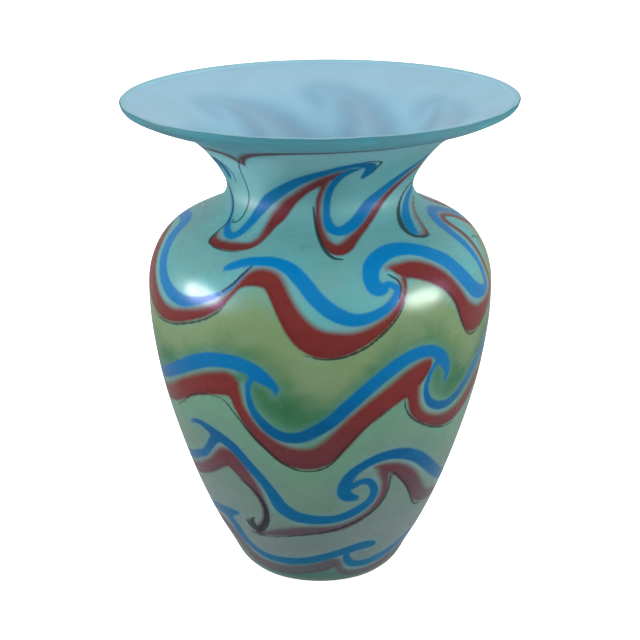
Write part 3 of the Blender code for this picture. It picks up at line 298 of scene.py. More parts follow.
def lower_row():
    left = [
        (-88, 78, 3), (-80, 76.5, 3), (-72, 77, 2.8), (-64, 79.5, 2.7), (-57, 83.5, 2.5), (-51, 87.5, 2.4),
        (-46.5, 93, 2.4), (-43, 98.5, 2.8), (-40.5, 101, 3),
    ]
    front = [
        (-54.5, 104.3, 0.8), (-52, 106.3, 1.5), (-48, 107, 1.9), (-44, 105.3, 2.8), (-39, 102.3, 3.5),
        (-34.5, 98.7, 3.6), (-30.5, 93, 3.2), (-27, 86.5, 3.1), (-23.5, 80, 3.1), (-20.5, 73, 3.3),
        (-18.3, 66, 4), (-15.5, 60.7, 4.3), (-11, 57, 4), (-5, 55.3, 3.6), (1, 54.8, 3.2), (7, 55.5, 3),
        (12, 57.5, 2.9), (17, 61, 2.9), (20.8, 65, 2.6), (22.6, 70, 2.4), (22.3, 75, 2.4), (20, 79.3, 2.2),
        (16.5, 80.3, 2), (13, 77.5, 2),
    ]
    wave = [
        (15, 69.5, 2), (12, 70.5, 3.3), (9.8, 73.5, 3.8), (9.9, 79, 3.6), (11.5, 84.5, 3.1), (15, 89.5, 2.9),
        (20, 93.3, 3), (26, 95.2, 3.2), (33, 94, 3.6), (40, 89.5, 3.6), (47, 82.7, 3.6), (54, 75.7, 3.5),
        (61, 69.7, 3.4), (68, 65, 3), (75, 62, 2.7), (83, 60, 2.7), (90, 58.3, 3), (97, 58, 2.9),
        (103, 60.5, 2.8), (107.5, 64, 2.6), (110.3, 68, 2.4), (111.3, 72.5, 2.3), (110.5, 77, 2.3),
        (108, 80, 2.1), (104, 77.5, 2), (101, 75.5, 2),
    ]
    low = flattened(wave, 70, 0.75, above=True)
    blue = [left, front, wave]
    left_red = [
        (-93, 70, 4), (-88, 69, 4), (-80, 68, 4), (-72, 69, 4), (-64, 71.5, 3.8), (-57, 75, 4),
        (-51, 79, 4.3), (-46, 83, 4.5), (-41, 88, 5.5), (-37, 90, 6.5), (-33, 84.5, 5.6), (-29.5, 77.5, 4.4),
        (-26.5, 70, 3), (-25, 62, 2.2), (-25.3, 55, 2), (-27.5, 49, 1.9), (-30.5, 44.5, 2),
        (-30.5, 39.5, 1.8),
    ]
    front_red = [
        (-37, 38.5, 1.2), (-29, 40.5, 2), (-20, 43.5, 3), (-12, 45.5, 3.5), (-4, 47, 3.5), (4, 47.8, 3),
        (11, 49.8, 2.6), (17, 53.3, 2.5), (22, 58, 2.4), (25.5, 64, 2.3), (27, 71, 2.3), (26.6, 78, 2.4),
        (25, 84, 2.8), (23.5, 88, 2.3),
    ]
    wave_red = [
        (21, 89, 1.2), (24, 89, 2), (30, 86, 3.8), (35, 81.8, 4.6), (40, 76, 4.8), (45.5, 67.5, 4.8),
        (51, 60.5, 4.8), (57, 57, 4.2), (63, 55.5, 4), (72, 53.5, 3.5), (82, 51.5, 3.5), (90, 50, 3.3),
        (98, 50, 3), (105, 53, 2.6), (110.5, 58, 2.4), (114.3, 64.5, 2.2), (115.6, 71, 2.2),
        (115.3, 78, 2.3), (113.8, 84, 2.4), (112.8, 88, 2),
    ]
    low_red = flattened(wave_red, 70, 0.75, above=True)
    red = [left_red, front_red, wave_red]
    for turn, blue_points, red_points in ((88, 26, 20), (156.7, 26, 20), (225.4, 12, 6)):
        blue.append(copied(low[:blue_points], turn, span=0.78, pivot=26))
        red.append(copied(low_red[:red_points], turn, span=0.78, pivot=26))
    long_line = [
        (28.5, 82, 0.4), (29.3, 75, 0.5), (28.3, 66, 0.6), (24.5, 58.5, 0.6), (18, 53, 0.6), (10, 48.5, 0.6),
        (0, 45, 0.5), (-12, 42, 0.4), (-24, 38.8, 0.3), (-33, 37.3, 0.3),
    ]
    dark = [
        [(-34, 76.5, 0.4), (-29.5, 73, 0.5), (-26, 66.5, 0.9), (-24.6, 58.5, 1.4), (-25.8, 50.5, 1.7),
         (-29, 44.8, 1.9), (-32.5, 42.3, 2.1), (-35.8, 43.5, 1.8), (-37.5, 46.5, 1)],
        [(-33, 44, 1), (-34.5, 48, 1.3), (-33, 50.5, 0.6)],
        [(30, 83, 0.3), (34, 77.5, 0.5), (39, 70.5, 0.6), (44, 61.8, 0.6), (49, 54.5, 0.6), (55, 52.5, 0.4)],
        long_line, copied(long_line, 88),
    ]
    return blue, red, dark


def foot_row():
    left = [
        (-123, 38, 3), (-121, 31, 3), (-117, 25, 3), (-110, 22, 3), (-102, 24, 3), (-94, 31, 3),
        (-87, 38, 2.8), (-80, 42, 2.7), (-72, 44, 3), (-64, 46, 3.2), (-56, 47, 3.8), (-48, 49, 2.8),
        (-42, 51, 1.2),
    ]
    front = [
        (-53, 45, 3.6), (-49.5, 38, 3.8), (-48, 31, 3.7), (-44, 25, 3.3), (-38, 21, 3), (-30, 19.5, 2.9),
        (-20, 19.5, 3), (-10, 21, 3), (0, 24, 3), (8, 27, 3), (16, 30, 3.2), (23, 32, 3.4), (28, 32, 3),
        (30.5, 31.5, 2),
    ]
    right = [
        (14.5, 29, 2), (15.3, 25, 2), (17, 20.5, 2.4), (20.5, 17.3, 2.8), (26, 16, 2.8), (33, 16.3, 3),
        (41, 18, 3.2), (50, 21, 3.5), (58, 25, 3.8), (66, 29, 4), (75, 33.5, 4), (83, 37.5, 3.8),
        (91, 40, 3.3), (98, 41, 2.4), (103, 40, 1.2),
    ]
    blue = [left, front, right, copied(front, 145, lift=-2), copied(right, 145)]
    front_red = [
        (-74, 35, 4), (-65, 36, 4.5), (-58, 32, 5), (-55, 24, 5), (-50, 17, 4.5), (-41, 13, 4), (-30, 12, 4),
        (-20, 12.5, 4), (-10, 14, 4), (0, 16.5, 4.5), (6, 19, 4.6), (10, 20.5, 3), (12, 16.5, 2.4),
        (15, 12, 2.4), (22, 9.3, 2.8), (32, 9, 3.3), (42, 10.5, 3.6), (54, 14, 3.8), (66, 18.5, 4),
        (76, 23, 4), (84, 28, 4),
    ]
    last_red = [
        (-131, 29, 3.6), (-127, 22, 3), (-121, 16, 3), (-113, 14, 3.2), (-104, 15, 3.4), (-95, 21, 3.6),
        (-87, 28, 3.8), (-80, 33, 4), (-72, 35.5, 4),
    ]
    red = [front_red, copied(front_red[2:], 145), last_red]
    return blue, red, []


def neck_spur():
    """The short pulled wisp on the right of the neck: one blue stroke, one red."""
    blue = [(47.5, 215.5, 2.4), (49.5, 221, 3), (54, 227, 2.8), (60, 232, 2.4), (67, 236, 2),
            (76, 238.5, 1.8)]
    red = [(49, 212.5, 1.2), (53, 212.8, 1.7), (56.5, 218, 1.3), (61.5, 225, 1.1), (68, 230.5, 1),
           (76, 233.5, 1)]
    return [blue], [red]


# In order from the rim down to the foot, which the ground's zones rely on.
THREAD_ROWS = {
    "rim": rim_row, "neck": neck_row, "shoulder": shoulder_row, "upper": upper_row, "lower": lower_row,
    "foot": foot_row,
}


# ---- the wall curve ----
def natural_spline(knots, values, where):
    """Smooth cubic through the values, with no bend at its two ends."""
    step = np.diff(knots)
    count = len(knots)
    matrix = np.eye(count)
    bend = np.zeros(count)
    for i in range(1, count - 1):
        matrix[i, i - 1:i + 2] = step[i - 1], 2 * (step[i - 1] + step[i]), step[i]
        bend[i] = 6 * ((values[i + 1] - values[i]) / step[i] - (values[i] - values[i - 1]) / step[i - 1])
    curve = np.linalg.solve(matrix, bend)
    i = np.clip(np.searchsorted(knots, where) - 1, 0, count - 2)
    t = where - knots[i]
    width = step[i]
    slope = (values[i + 1] - values[i]) / width - width * (2 * curve[i] + curve[i + 1]) / 6
    return values[i] + t * slope + t ** 2 * curve[i] / 2 + t ** 3 * (curve[i + 1] - curve[i]) / (6 * width)


class Wall:
    """Outer wall curve, read by the distance up the wall from the base edge."""

    def __init__(self, points, samples=3000):
        points = np.array(points)
        chord = np.r_[0, np.cumsum(np.hypot(*np.diff(points, axis=0).T))]
        where = np.linspace(0, chord[-1], samples)
        self.radius = natural_spline(chord, points[:, 0], where)
        self.height = natural_spline(chord, points[:, 1], where)
        self.along = np.r_[0, np.cumsum(np.hypot(np.diff(self.radius), np.diff(self.height)))]
        self.length = self.along[-1]
        self.radius_rate = np.gradient(self.radius, self.along)
        self.height_rate = np.gradient(self.height, self.along)

    def lean(self, up):
        """How fast the radius and the height change up the wall."""
        return np.interp(up, self.along, self.radius_rate), np.interp(up, self.along, self.height_rate)

    def at(self, up, inset=0.0):
        """Radius and height at a distance up the wall, pushed into the glass by the inset."""
        outward, upward = self.lean(up)
        radius = np.interp(up, self.along, self.radius)
        height = np.interp(up, self.along, self.height)
        return radius - inset * upward, height + inset * outward


WALL = Wall(OUTER_WALL)
TURNS = np.arange(COLUMNS) * 360.0 / COLUMNS


def eased(value, start, end):
    """0 up to the start, 1 from the end on, straight in between."""
    return np.clip((value - start) / (end - start), 0.0, 1.0)


def around(radius, degrees, height):
    """Points at a radius and height; 0 degrees is the front (-Y), growing towards +X."""
    turn = np.radians(degrees)
    return np.column_stack([radius * np.sin(turn), -radius * np.cos(turn), height + 0 * turn])


def grid(ups):
    """Angle and distance up the wall of every corner of the rows."""
    return np.tile(TURNS, len(ups)), np.repeat(ups, COLUMNS)


def swayed(points):
    """Points in millimetres with the small irregularities of a vase blown by hand."""
    x, y, z = points.T
    turn = np.arctan2(x, -y)
    share = eased(z, *SWAY_STARTS) * eased(z, *SWAY_ENDS)
    oval = np.sin(2 * turn + 0.7 + z / 70.0)
    three_sided = 0.5 * np.sin(3 * turn + z / 45.0)
    grow = 1.0 + SWAY * share * (oval + three_sided) / MEAN_RADIUS
    lift = RIM_TILT * x * eased(z, *TILT_HEIGHTS) ** 2
    return np.column_stack([x * grow, y * grow, z + lift])


def on_wall(angle, up, inset=0.0):
    """Points of the wall in millimetres."""
    radius, height = WALL.at(up, inset)
    return swayed(around(radius, angle, height))


def wall_normals(angle, up):
    """Outward directions of the outer wall."""
    outward, upward = WALL.lean(up)
    tilt = RIM_TILT * np.sin(np.radians(angle)) * eased(up, *TILT_UPS)
    normals = around(upward, angle, -outward - tilt)
    return normals / np.linalg.norm(normals, axis=1)[:, None]


# ---- distances to the strokes ----
def smoothed(stroke, steps=3):
    """Points of a smooth curve through the stroke's own points."""
    points = np.array(stroke, float)
    padded = np.vstack([2 * points[0] - points[1], points, 2 * points[-1] - points[-2]])
    result = []
    for i in range(1, len(padded) - 2):
        p0, p1, p2, p3 = padded[i - 1:i + 3]
        for t in np.arange(steps) / steps:
            result.append(0.5 * (2 * p1 + (p2 - p0) * t + (2 * p0 - 5 * p1 + 4 * p2 - p3) * t ** 2
                                 + (3 * p1 - p0 - 3 * p2 + p3) * t ** 3))
    result.append(points[-1])
    result = np.array(result)
    result[:, 2] = np.maximum(result[:, 2], THINNEST)
    return result


def stroke_fields(angle, up, strokes):
    """For wall points: depth inside the nearest stroke (negative outside), the signed distance to
    the left of its middle line, and its half width there."""
    depth = np.full(len(angle), -FAR)
    side = np.full(len(angle), FAR)
    half = np.full(len(angle), 0.5)
    scale = np.radians(np.interp(up, WALL.along, WALL.radius))
    for stroke in strokes:
        stroke = smoothed(stroke)
        middle = (stroke[:, 0].min() + stroke[:, 0].max()) / 2
        reach = (stroke[:, 0].max() - stroke[:, 0].min()) / 2 + FAR / scale.min()
        turn = (angle - middle + 180) % 360 - 180
        near = (np.abs(turn) < reach) & (up > stroke[:, 1].min() - FAR) & (up < stroke[:, 1].max() + FAR)
        index = np.nonzero(near)[0]
        if len(index) == 0:
            continue
        local = scale[index, None]
        start, end = stroke[:-1], stroke[1:]
        from_x = (turn[index, None] + middle - start[:, 0]) * local
        from_y = up[index, None] - start[:, 1]
        along_x = (end[:, 0] - start[:, 0]) * local
        along_y = (end[:, 1] - start[:, 1])[None, :]
        share = (from_x * along_x + from_y * along_y) / (along_x ** 2 + along_y ** 2 + TINY)
        share = np.clip(share, 0, 1)
        gap = np.hypot(from_x - share * along_x, from_y - share * along_y)
        width = start[:, 2] + share * (end[:, 2] - start[:, 2])
        best = np.argmax(width - gap, axis=1)
        rows = np.arange(len(index))
        found = (width - gap)[rows, best]
        cross = (along_x * from_y - along_y * from_x)[rows, best]
        better = found > depth[index]
        index, rows, best = index[better], rows[better], best[better]
        depth[index] = found[better]
        side[index] = np.where(cross[better] > 0, 1, -1) * gap[rows, best]
        half[index] = width[rows, best]
    return depth, side, half


def row_level(strokes):
    """Mean distance up the wall of a row of strokes, at each of the LEVEL_TURNS."""
    points = np.vstack([smoothed(stroke) for stroke in strokes])
    turn = (LEVEL_TURNS[:, None] - points[:, 0] + 180.0) % 360.0 - 180.0
    weight = np.exp(-0.5 * (turn / LEVEL_BLUR) ** 2) + TINY
    return (weight * points[:, 1]).sum(axis=1) / weight.sum(axis=1)


class Pattern:
    """Every stroke of the vase, and what a point of the wall needs to know about them."""

    def __init__(self):
        self.threads = {}
        self.dark = []
        self.levels = []
        for row, make in THREAD_ROWS.items():
            blue, red, dark = make()
            if blue:
                self.threads["blue_trail_" + row] = blue
            self.threads["red_trail_" + row] = red
            self.dark += dark
            self.levels.insert(0, row_level(red))

    def zone(self, angle, up):
        """0 at the base edge, 1 to 6 on the red rows from the foot to the rim, 7 at the lip."""
        rows = [np.interp(angle, LEVEL_TURNS, level, period=360.0) for level in self.levels]
        edges = [np.zeros(len(up))] + rows + [np.full(len(up), WALL.length)]
        return sum(eased(up, low, high) for low, high in zip(edges[:-1], edges[1:]))

    def ghosts(self, angle, up):
        """Looks of points inside the mouth, where the waves of the threads show through faintly."""
        looks, depths = self.read(angle, up - GHOST_LIFT)
        waves = [depth for name, depth in depths.items() if name.startswith("red") and "rim" not in name]
        looks["red"] = np.maximum.reduce(waves)
        looks["up"] = up
        return looks

    def read(self, angle, up):
        """Looks of wall points, and the depth of each inside each thread."""
        depths = {}
        looks = {"blue": np.full(len(angle), -FAR), "red": np.full(len(angle), -FAR),
                 "red_side": np.zeros(len(angle))}
        groups = dict(self.threads)
        groups["blue_spur"], groups["red_spur"] = neck_spur()
        for name, strokes in groups.items():
            depth, side, half = stroke_fields(angle, up, strokes)
            colour = name.split("_")[0]
            if colour == "red":
                nearer = depth > looks["red"]
                looks["red_side"] = np.where(nearer, side / half, looks["red_side"])
            looks[colour] = np.maximum(looks[colour], depth)
            if name in self.threads:
                depths[name] = depth
        depth, looks["dark_side"], half = stroke_fields(angle, up, self.dark)
        looks["dark_width"] = half - HAIRLINE_TAPER * np.maximum(-depth - HAIRLINE_BLUR, 0.0)
        looks["up"] = up
        looks["zone"] = self.zone(angle, up)
        return looks, depths


# ---- cutting the wall into pieces ----
class WallMesh:
    """The outer wall as triangles, cut along the edges of the threads; every corner keeps its looks."""

    def __init__(self, pattern):
        ups = np.linspace(0.0, WALL.length, int(WALL.length / ROW_STEP) + 1)
        angle, up = grid(ups)
        looks, depths = pattern.read(angle, up)
        self.top_ring = (len(ups) - 1) * COLUMNS + np.arange(COLUMNS)
        self.thread_names = list(depths)
        self.data = list(np.column_stack([angle, *looks.values(), *depths.values()]))
        self.triangles = self.grid_triangles(len(ups))
        self.owner = [""] * len(self.triangles)
        first_depth = 1 + len(looks)
        for name in sorted(self.thread_names):
            self.cut_out(name, first_depth + self.thread_names.index(name))
        data = np.array(self.data)
        self.angle = data[:, 0]
        self.looks = {name: data[:, 1 + n] for n, name in enumerate(looks)}
        self.triangles = np.array(self.triangles)
        self.owner = np.array(self.owner)

    @staticmethod
    def grid_triangles(rows):
        triangles = []
        for row in range(rows - 1):
            for k in range(COLUMNS):
                a, b = row * COLUMNS + k, row * COLUMNS + (k + 1) % COLUMNS
                c, d = b + COLUMNS, a + COLUMNS
                if (row + k) % 2:
                    triangles += [(a, b, c), (a, c, d)]
                else:
                    triangles += [(a, b, d), (b, c, d)]
        return triangles

    def cut_out(self, name, column):
        """Give the thread its triangles; all those across its edge are split along the edge, also the
        ones that another thread holds, so that no corner ends up in the middle of a side."""
        depth = np.array([row[column] for row in self.data])
        depth[np.abs(depth) < SNAP] = 0.0
        corners = depth[np.array(self.triangles)]
        depth = list(depth)
        inside = (corners >= 0).all(axis=1) & (corners > 0).any(axis=1)
        mixed = (corners > 0).any(axis=1) & (corners < 0).any(axis=1)
        split = {}

        def between(i, j):
            key = (min(i, j), max(i, j))
            if key not in split:
                first, second = self.data[i], self.data[j]
                share = depth[i] / (depth[i] - depth[j])
                step = second - first
                step[0] = (step[0] + 180) % 360 - 180
                split[key] = len(self.data)
                self.data.append(first + share * step)
                depth.append(0.0)
            return split[key]

        triangles, owner = [], []
        for t, tri in enumerate(self.triangles):
            if not mixed[t]:
                triangles.append(tri)
                owner.append(self.owner[t] or (name if inside[t] else ""))
                continue
            parts = {name: [], "": []}
            for n in range(3):
                i, j = tri[n], tri[(n + 1) % 3]
                if depth[i] >= 0:
                    parts[name].append(i)
                if depth[i] <= 0:
                    parts[""].append(i)
                if depth[i] * depth[j] < 0:
                    middle = between(i, j)
                    parts[name].append(middle)
                    parts[""].append(middle)
            for who, loop in parts.items():
                for n in range(1, len(loop) - 1):
                    triangles.append((loop[0], loop[n], loop[n + 1]))
                    owner.append(self.owner[t] or who)
        self.triangles, self.owner = triangles, owner


def border(triangles):
    """Directed edges that only one of the triangles uses."""
    edges = np.vstack([triangles[:, [0, 1]], triangles[:, [1, 2]], triangles[:, [2, 0]]])
    size = edges.max() + 1
    keys = edges[:, 0].astype(np.int64) * size + edges[:, 1]
    back = edges[:, 1].astype(np.int64) * size + edges[:, 0]
    return edges[~np.isin(keys, back)]


# ---- building the pieces ----
PLAIN_LOOKS = {"blue": -FAR, "red": -FAR, "red_side": 0.0, "dark_side": FAR, "dark_width": -FAR,
               "up": 0.0, "zone": 0.0}


class Piece:
    """Corners, faces and looks of one piece, gathered sheet by sheet."""

    def __init__(self, name):
        self.name = name
        self.verts, self.faces, self.normals = [], [], []
        self.looks = {key: [] for key in PLAIN_LOOKS}
        self.count = 0

    def add(self, verts, looks, normals=None):
        """Corners in millimetres; returns their first index. Looks not given mean plain ground."""
        first = self.count
        size = len(verts)
        for key, value in PLAIN_LOOKS.items():
            self.looks[key].append(np.broadcast_to(looks.get(key, value), size))
        self.verts.append(verts)
        self.normals.append(np.zeros((size, 3)) if normals is None else normals)
        self.count += size
        return first

    def sheet(self, triangles, flip=False):
        self.faces.append(triangles[:, ::-1] if flip else triangles)

    def build(self):
        mesh = bpy.data.meshes.new(self.name)
        mesh.from_pydata((np.vstack(self.verts) * MM).tolist(), [], np.vstack(self.faces).tolist())
        mesh.shade_smooth()
        mesh.set_sharp_from_angle(angle=math.radians(SHARP_DEGREES))
        for key, parts in self.looks.items():
            layer = mesh.attributes.new(key, "FLOAT", "POINT")
            layer.data.foreach_set("value", np.concatenate(parts).astype(np.float32))
        corner = np.empty(len(mesh.loops), np.int32)
        mesh.loops.foreach_get("vertex_index", corner)
        mesh.normals_split_custom_set(np.vstack(self.normals)[corner].tolist())
        obj = bpy.data.objects.new(self.name + "_glass", mesh)
        bpy.context.scene.collection.objects.link(obj)
        return obj


def top_up(inset):
    """Where the wall ends at an inset: the inside is shorter than the outside."""
    return WALL.length - LIP_SHORT * inset / WALL_THICK


def coarse_ups(inset):
    """Rows up the hidden or little seen wall at an inset."""
    top = top_up(inset)
    belly = np.arange(INNER_WALL_START, BELLY_TOP, BELLY_STEP)
    return np.r_[belly, np.arange(BELLY_TOP, top - COARSE_STEP / 2, COARSE_STEP), top]


def ring_triangles(lower, upper):
    """Triangles between two rings of the same number of corners, facing outwards."""
    next_lower, next_upper = np.roll(lower, -1), np.roll(upper, -1)
    return np.vstack([np.column_stack([lower, next_lower, next_upper]),
                      np.column_stack([lower, next_upper, upper])])


def add_rows(piece, ups, inset, flip=False, looks_of=None):
    """A revolved sheet at an inset from the wall; returns its first and last ring."""
    angle, up = grid(ups)
    looks = looks_of(angle, up) if looks_of else {"up": up}
    first = piece.add(on_wall(angle, up, inset), looks)
    rings = first + np.arange(len(up)).reshape(len(ups), COLUMNS)
    for lower, upper in zip(rings[:-1], rings[1:]):
        piece.sheet(ring_triangles(lower, upper), flip)
    return rings[0], rings[-1]


def add_floor(piece, ring, inset, floor_height, flip=False):
    """Rounded corner and flat floor inside a shell, down from its first ring."""
    radius, height = (float(value) for value in WALL.at(INNER_WALL_START, inset))
    drop = height - floor_height
    for bend in FLOOR_BENDS * math.pi / 2:
        r = radius - FLOOR_SPREAD * drop * (1 - math.cos(bend))
        z = height - drop * math.sin(bend)
        lower = piece.add(around(r, TURNS, z), {}) + np.arange(COLUMNS)
        piece.sheet(ring_triangles(lower, ring), flip)
        ring = lower
    close_ring(piece, ring, floor_height, upwards=flip)


def close_ring(piece, ring, height, upwards):
    """Flat disc inside a ring."""
    centre = piece.add(np.array([[0.0, 0.0, height]]), {})
    fan = np.column_stack([np.full(len(ring), centre), ring, np.roll(ring, -1)])
    piece.sheet(fan, flip=not upwards)


def add_lip(piece, outer_ring, inner_ring, start_deg, end_deg):
    """Part of the round lip, from a ring on the outside to a ring on the inside."""
    outer = np.array(WALL.at(WALL.length))
    inner = np.array(WALL.at(top_up(WALL_THICK), WALL_THICK))
    middle, across = (outer + inner) / 2, (outer - inner) / 2
    onward = LIP_RISE * np.array((-across[1], across[0]))
    last = outer_ring
    for bend in np.radians(np.linspace(start_deg, end_deg, LIP_STEPS)):
        if bend == 0.0 or bend == math.pi:
            continue
        radius, height = middle + across * math.cos(bend) + onward * math.sin(bend)
        half_turns = bend / math.pi
        looks = {"up": WALL.length + LIP_LENGTH * half_turns, "zone": LIP_ZONE + half_turns}
        ring = piece.add(swayed(around(radius, TURNS, height)), looks) + np.arange(COLUMNS)
        piece.sheet(ring_triangles(last, ring))
        last = ring
    piece.sheet(ring_triangles(last, inner_ring))


def split_lip():
    """Degrees over the lip where the gather ends and the lining begins."""
    half = WALL_THICK / 2
    return math.degrees(math.acos((half - BODY_THICK - SEAM / 2) / half))


def add_patch(piece, wall_mesh, triangles, inset=0.0, bare=False):
    """The corners of some of the wall's triangles, with the pattern's looks unless they stay bare;
    returns the new index of each wall corner."""
    used = np.unique(triangles)
    angle, up = wall_mesh.angle[used], wall_mesh.looks["up"][used]
    looks = {"up": up} if bare else {name: values[used] for name, values in wall_mesh.looks.items()}
    normals = wall_normals(angle, up) if inset == 0.0 else None
    place = np.full(len(wall_mesh.angle), -1)
    place[used] = piece.add(on_wall(angle, up, inset), looks, normals) + np.arange(len(used))
    return place


def add_skirt(piece, triangles, top, bottom, flip=False):
    """Walls between two sheets, along the border of the triangles that one or both are made of."""
    a, b = border(triangles).T
    piece.sheet(np.column_stack([top[b], top[a], bottom[b]]), flip)
    piece.sheet(np.column_stack([top[a], bottom[a], bottom[b]]), flip)


def build_body(wall_mesh):
    """Celadon gather: plain wall, channels under the threads, lip, inside and ground base."""
    piece = Piece("celadon_body")
    plain = wall_mesh.triangles[wall_mesh.owner == ""]
    channel = wall_mesh.triangles[wall_mesh.owner != ""]
    top = add_patch(piece, wall_mesh, plain)
    deep = add_patch(piece, wall_mesh, channel, CHANNEL_DEPTH, bare=True)
    piece.sheet(top[plain])
    piece.sheet(deep[channel])
    add_skirt(piece, channel, top, deep, flip=True)
    close_ring(piece, top[:COLUMNS], 0.0, upwards=False)
    first, last = add_rows(piece, coarse_ups(BODY_THICK), BODY_THICK, flip=True)
    add_floor(piece, first, BODY_THICK, BASE_THICK, flip=True)
    add_lip(piece, top[wall_mesh.top_ring], last, 0.0, split_lip())
    return piece.build()


def build_lining(pattern):
    """Opal glass shell inside the gather, the one seen through the mouth."""
    piece = Piece("opal_lining")
    outside, inside = BODY_THICK + SEAM, WALL_THICK
    first, last = add_rows(piece, coarse_ups(outside), outside)
    add_floor(piece, first, outside, BASE_THICK + SEAM)
    below = np.arange(INNER_WALL_START, MOUTH_START, COARSE_STEP / 2)
    mouth = np.linspace(MOUTH_START, top_up(inside), int((WALL.length - MOUTH_START) / ROW_STEP))
    inner_first, inner_last = add_rows(piece, np.r_[below, mouth], inside, True, pattern.ghosts)
    add_floor(piece, inner_first, inside, BASE_THICK + SEAM + FLOOR_THICK, flip=True)
    add_lip(piece, last, inner_last, split_lip(), 180.0)
    return piece.build()


def build_trail(name, wall_mesh):
    """One thread: the patch of wall it covers, given a thickness."""
    piece = Piece(name)
    triangles = wall_mesh.triangles[wall_mesh.owner == name]
    top = add_patch(piece, wall_mesh, triangles)
    bottom = add_patch(piece, wall_mesh, triangles, TRAIL_THICK)
    piece.sheet(top[triangles])
    piece.sheet(bottom[triangles], flip=True)
    add_skirt(piece, triangles, top, bottom)
    return piece.build()


# ---- glass ----
# All colours are display colours from 0 to 255.
# Ground by zone: 1 foot row, 2 lower, 3 upper, 4 shoulder, 5 neck, 6 rim row, 7 lip edge. The dark teal
# stops at 6.93 and 7.1 are painted shade under the lip, laid over the gather's own colour.
GROUND_AND_LIP_SHADE = [
    (0.0, (64, 118, 104)), (0.5, (68, 118, 108)), (1.4, (118, 138, 138)), (2.3, (110, 142, 128)),
    (2.9, (108, 156, 132)), (3.3, (44, 112, 72)), (3.75, (126, 154, 108)), (4.15, (98, 182, 186)),
    (4.6, (104, 168, 170)), (5.3, (106, 178, 182)), (5.85, (148, 214, 224)), (6.1, (106, 182, 198)),
    (6.75, (104, 184, 200)), (6.93, (74, 154, 172)), (7.1, (44, 122, 140)), (7.3, (150, 204, 222)),
]
# Red, blue and lining by the distance up the wall. The lining's darker stop at 313 is a thin line of painted
# shade on the lip.
RED = [
    (5, (92, 102, 106)), (30, (92, 88, 94)), (50, (90, 82, 90)), (75, (98, 70, 78)), (100, (108, 56, 58)),
    (130, (122, 50, 44)), (190, (122, 48, 38)), (240, (114, 46, 44)), (300, (104, 66, 74)),
]
BLUE = [
    (10, (0, 106, 146)), (60, (0, 102, 148)), (110, (0, 92, 142)), (150, (0, 114, 174)),
    (190, (0, 128, 192)), (265, (0, 110, 160)),
]
LINING_AND_LIP_SHADE = [
    (0, (120, 162, 182)), (200, (140, 196, 216)), (236, (156, 210, 232)), (262, (162, 212, 234)),
    (300, (162, 206, 228)), (308, (162, 206, 228)), (313, (138, 190, 212)), (316, (158, 210, 228)),
]
PALE_CLOUD = (142, 168, 150)
GREEN_STREAK = (86, 122, 104)
GLOW_BY_BLUE = (92, 160, 172)
GLOW_BETWEEN = (124, 164, 168)   # between a blue thread and a red one
RED_UNDERSIDE = (70, 32, 34)
RED_STREAK = (136, 70, 66)
BLUE_STREAK = (20, 132, 184)
HAIRLINE = (26, 40, 44)
COOL_LUSTRE = (226, 255, 250)
WARM_LUSTRE = (255, 246, 255)
THREAD_LUSTRE = (158, 118, 206)
LINING_CLOUD = (150, 190, 206)
LINING_RED_MARK = (160, 158, 176)
LINING_BLUE_MARK = (92, 148, 182)
# Where a colour fades in: from nothing to full, in millimetres inside the edge of its stroke.
CRISP_RED_EDGE = (-0.8, 1.2)
SOFT_RED_EDGE = (-1.8, 2.8)
BLUE_EDGE = (-0.7, 0.9)
HAIRLINE_EDGE = (-0.5, 0.4)
BLUE_GLOW_REACH = (-4.5, -0.5)
RED_GLOW_REACH = (-4.5, -1.0)
LINING_MARK_REACH = (-9.0, 6.0)
BODY_IOR = 1.32           # low, because the satin skin mirrors little
LINING_IOR = 1.45


def linear(colour):
    """Display colour as the linear colour a shader takes."""
    shares = [value / 255.0 for value in colour]
    return [s / 12.92 if s <= 0.04045 else ((s + 0.055) / 1.055) ** 2.4 for s in shares] + [1.0]


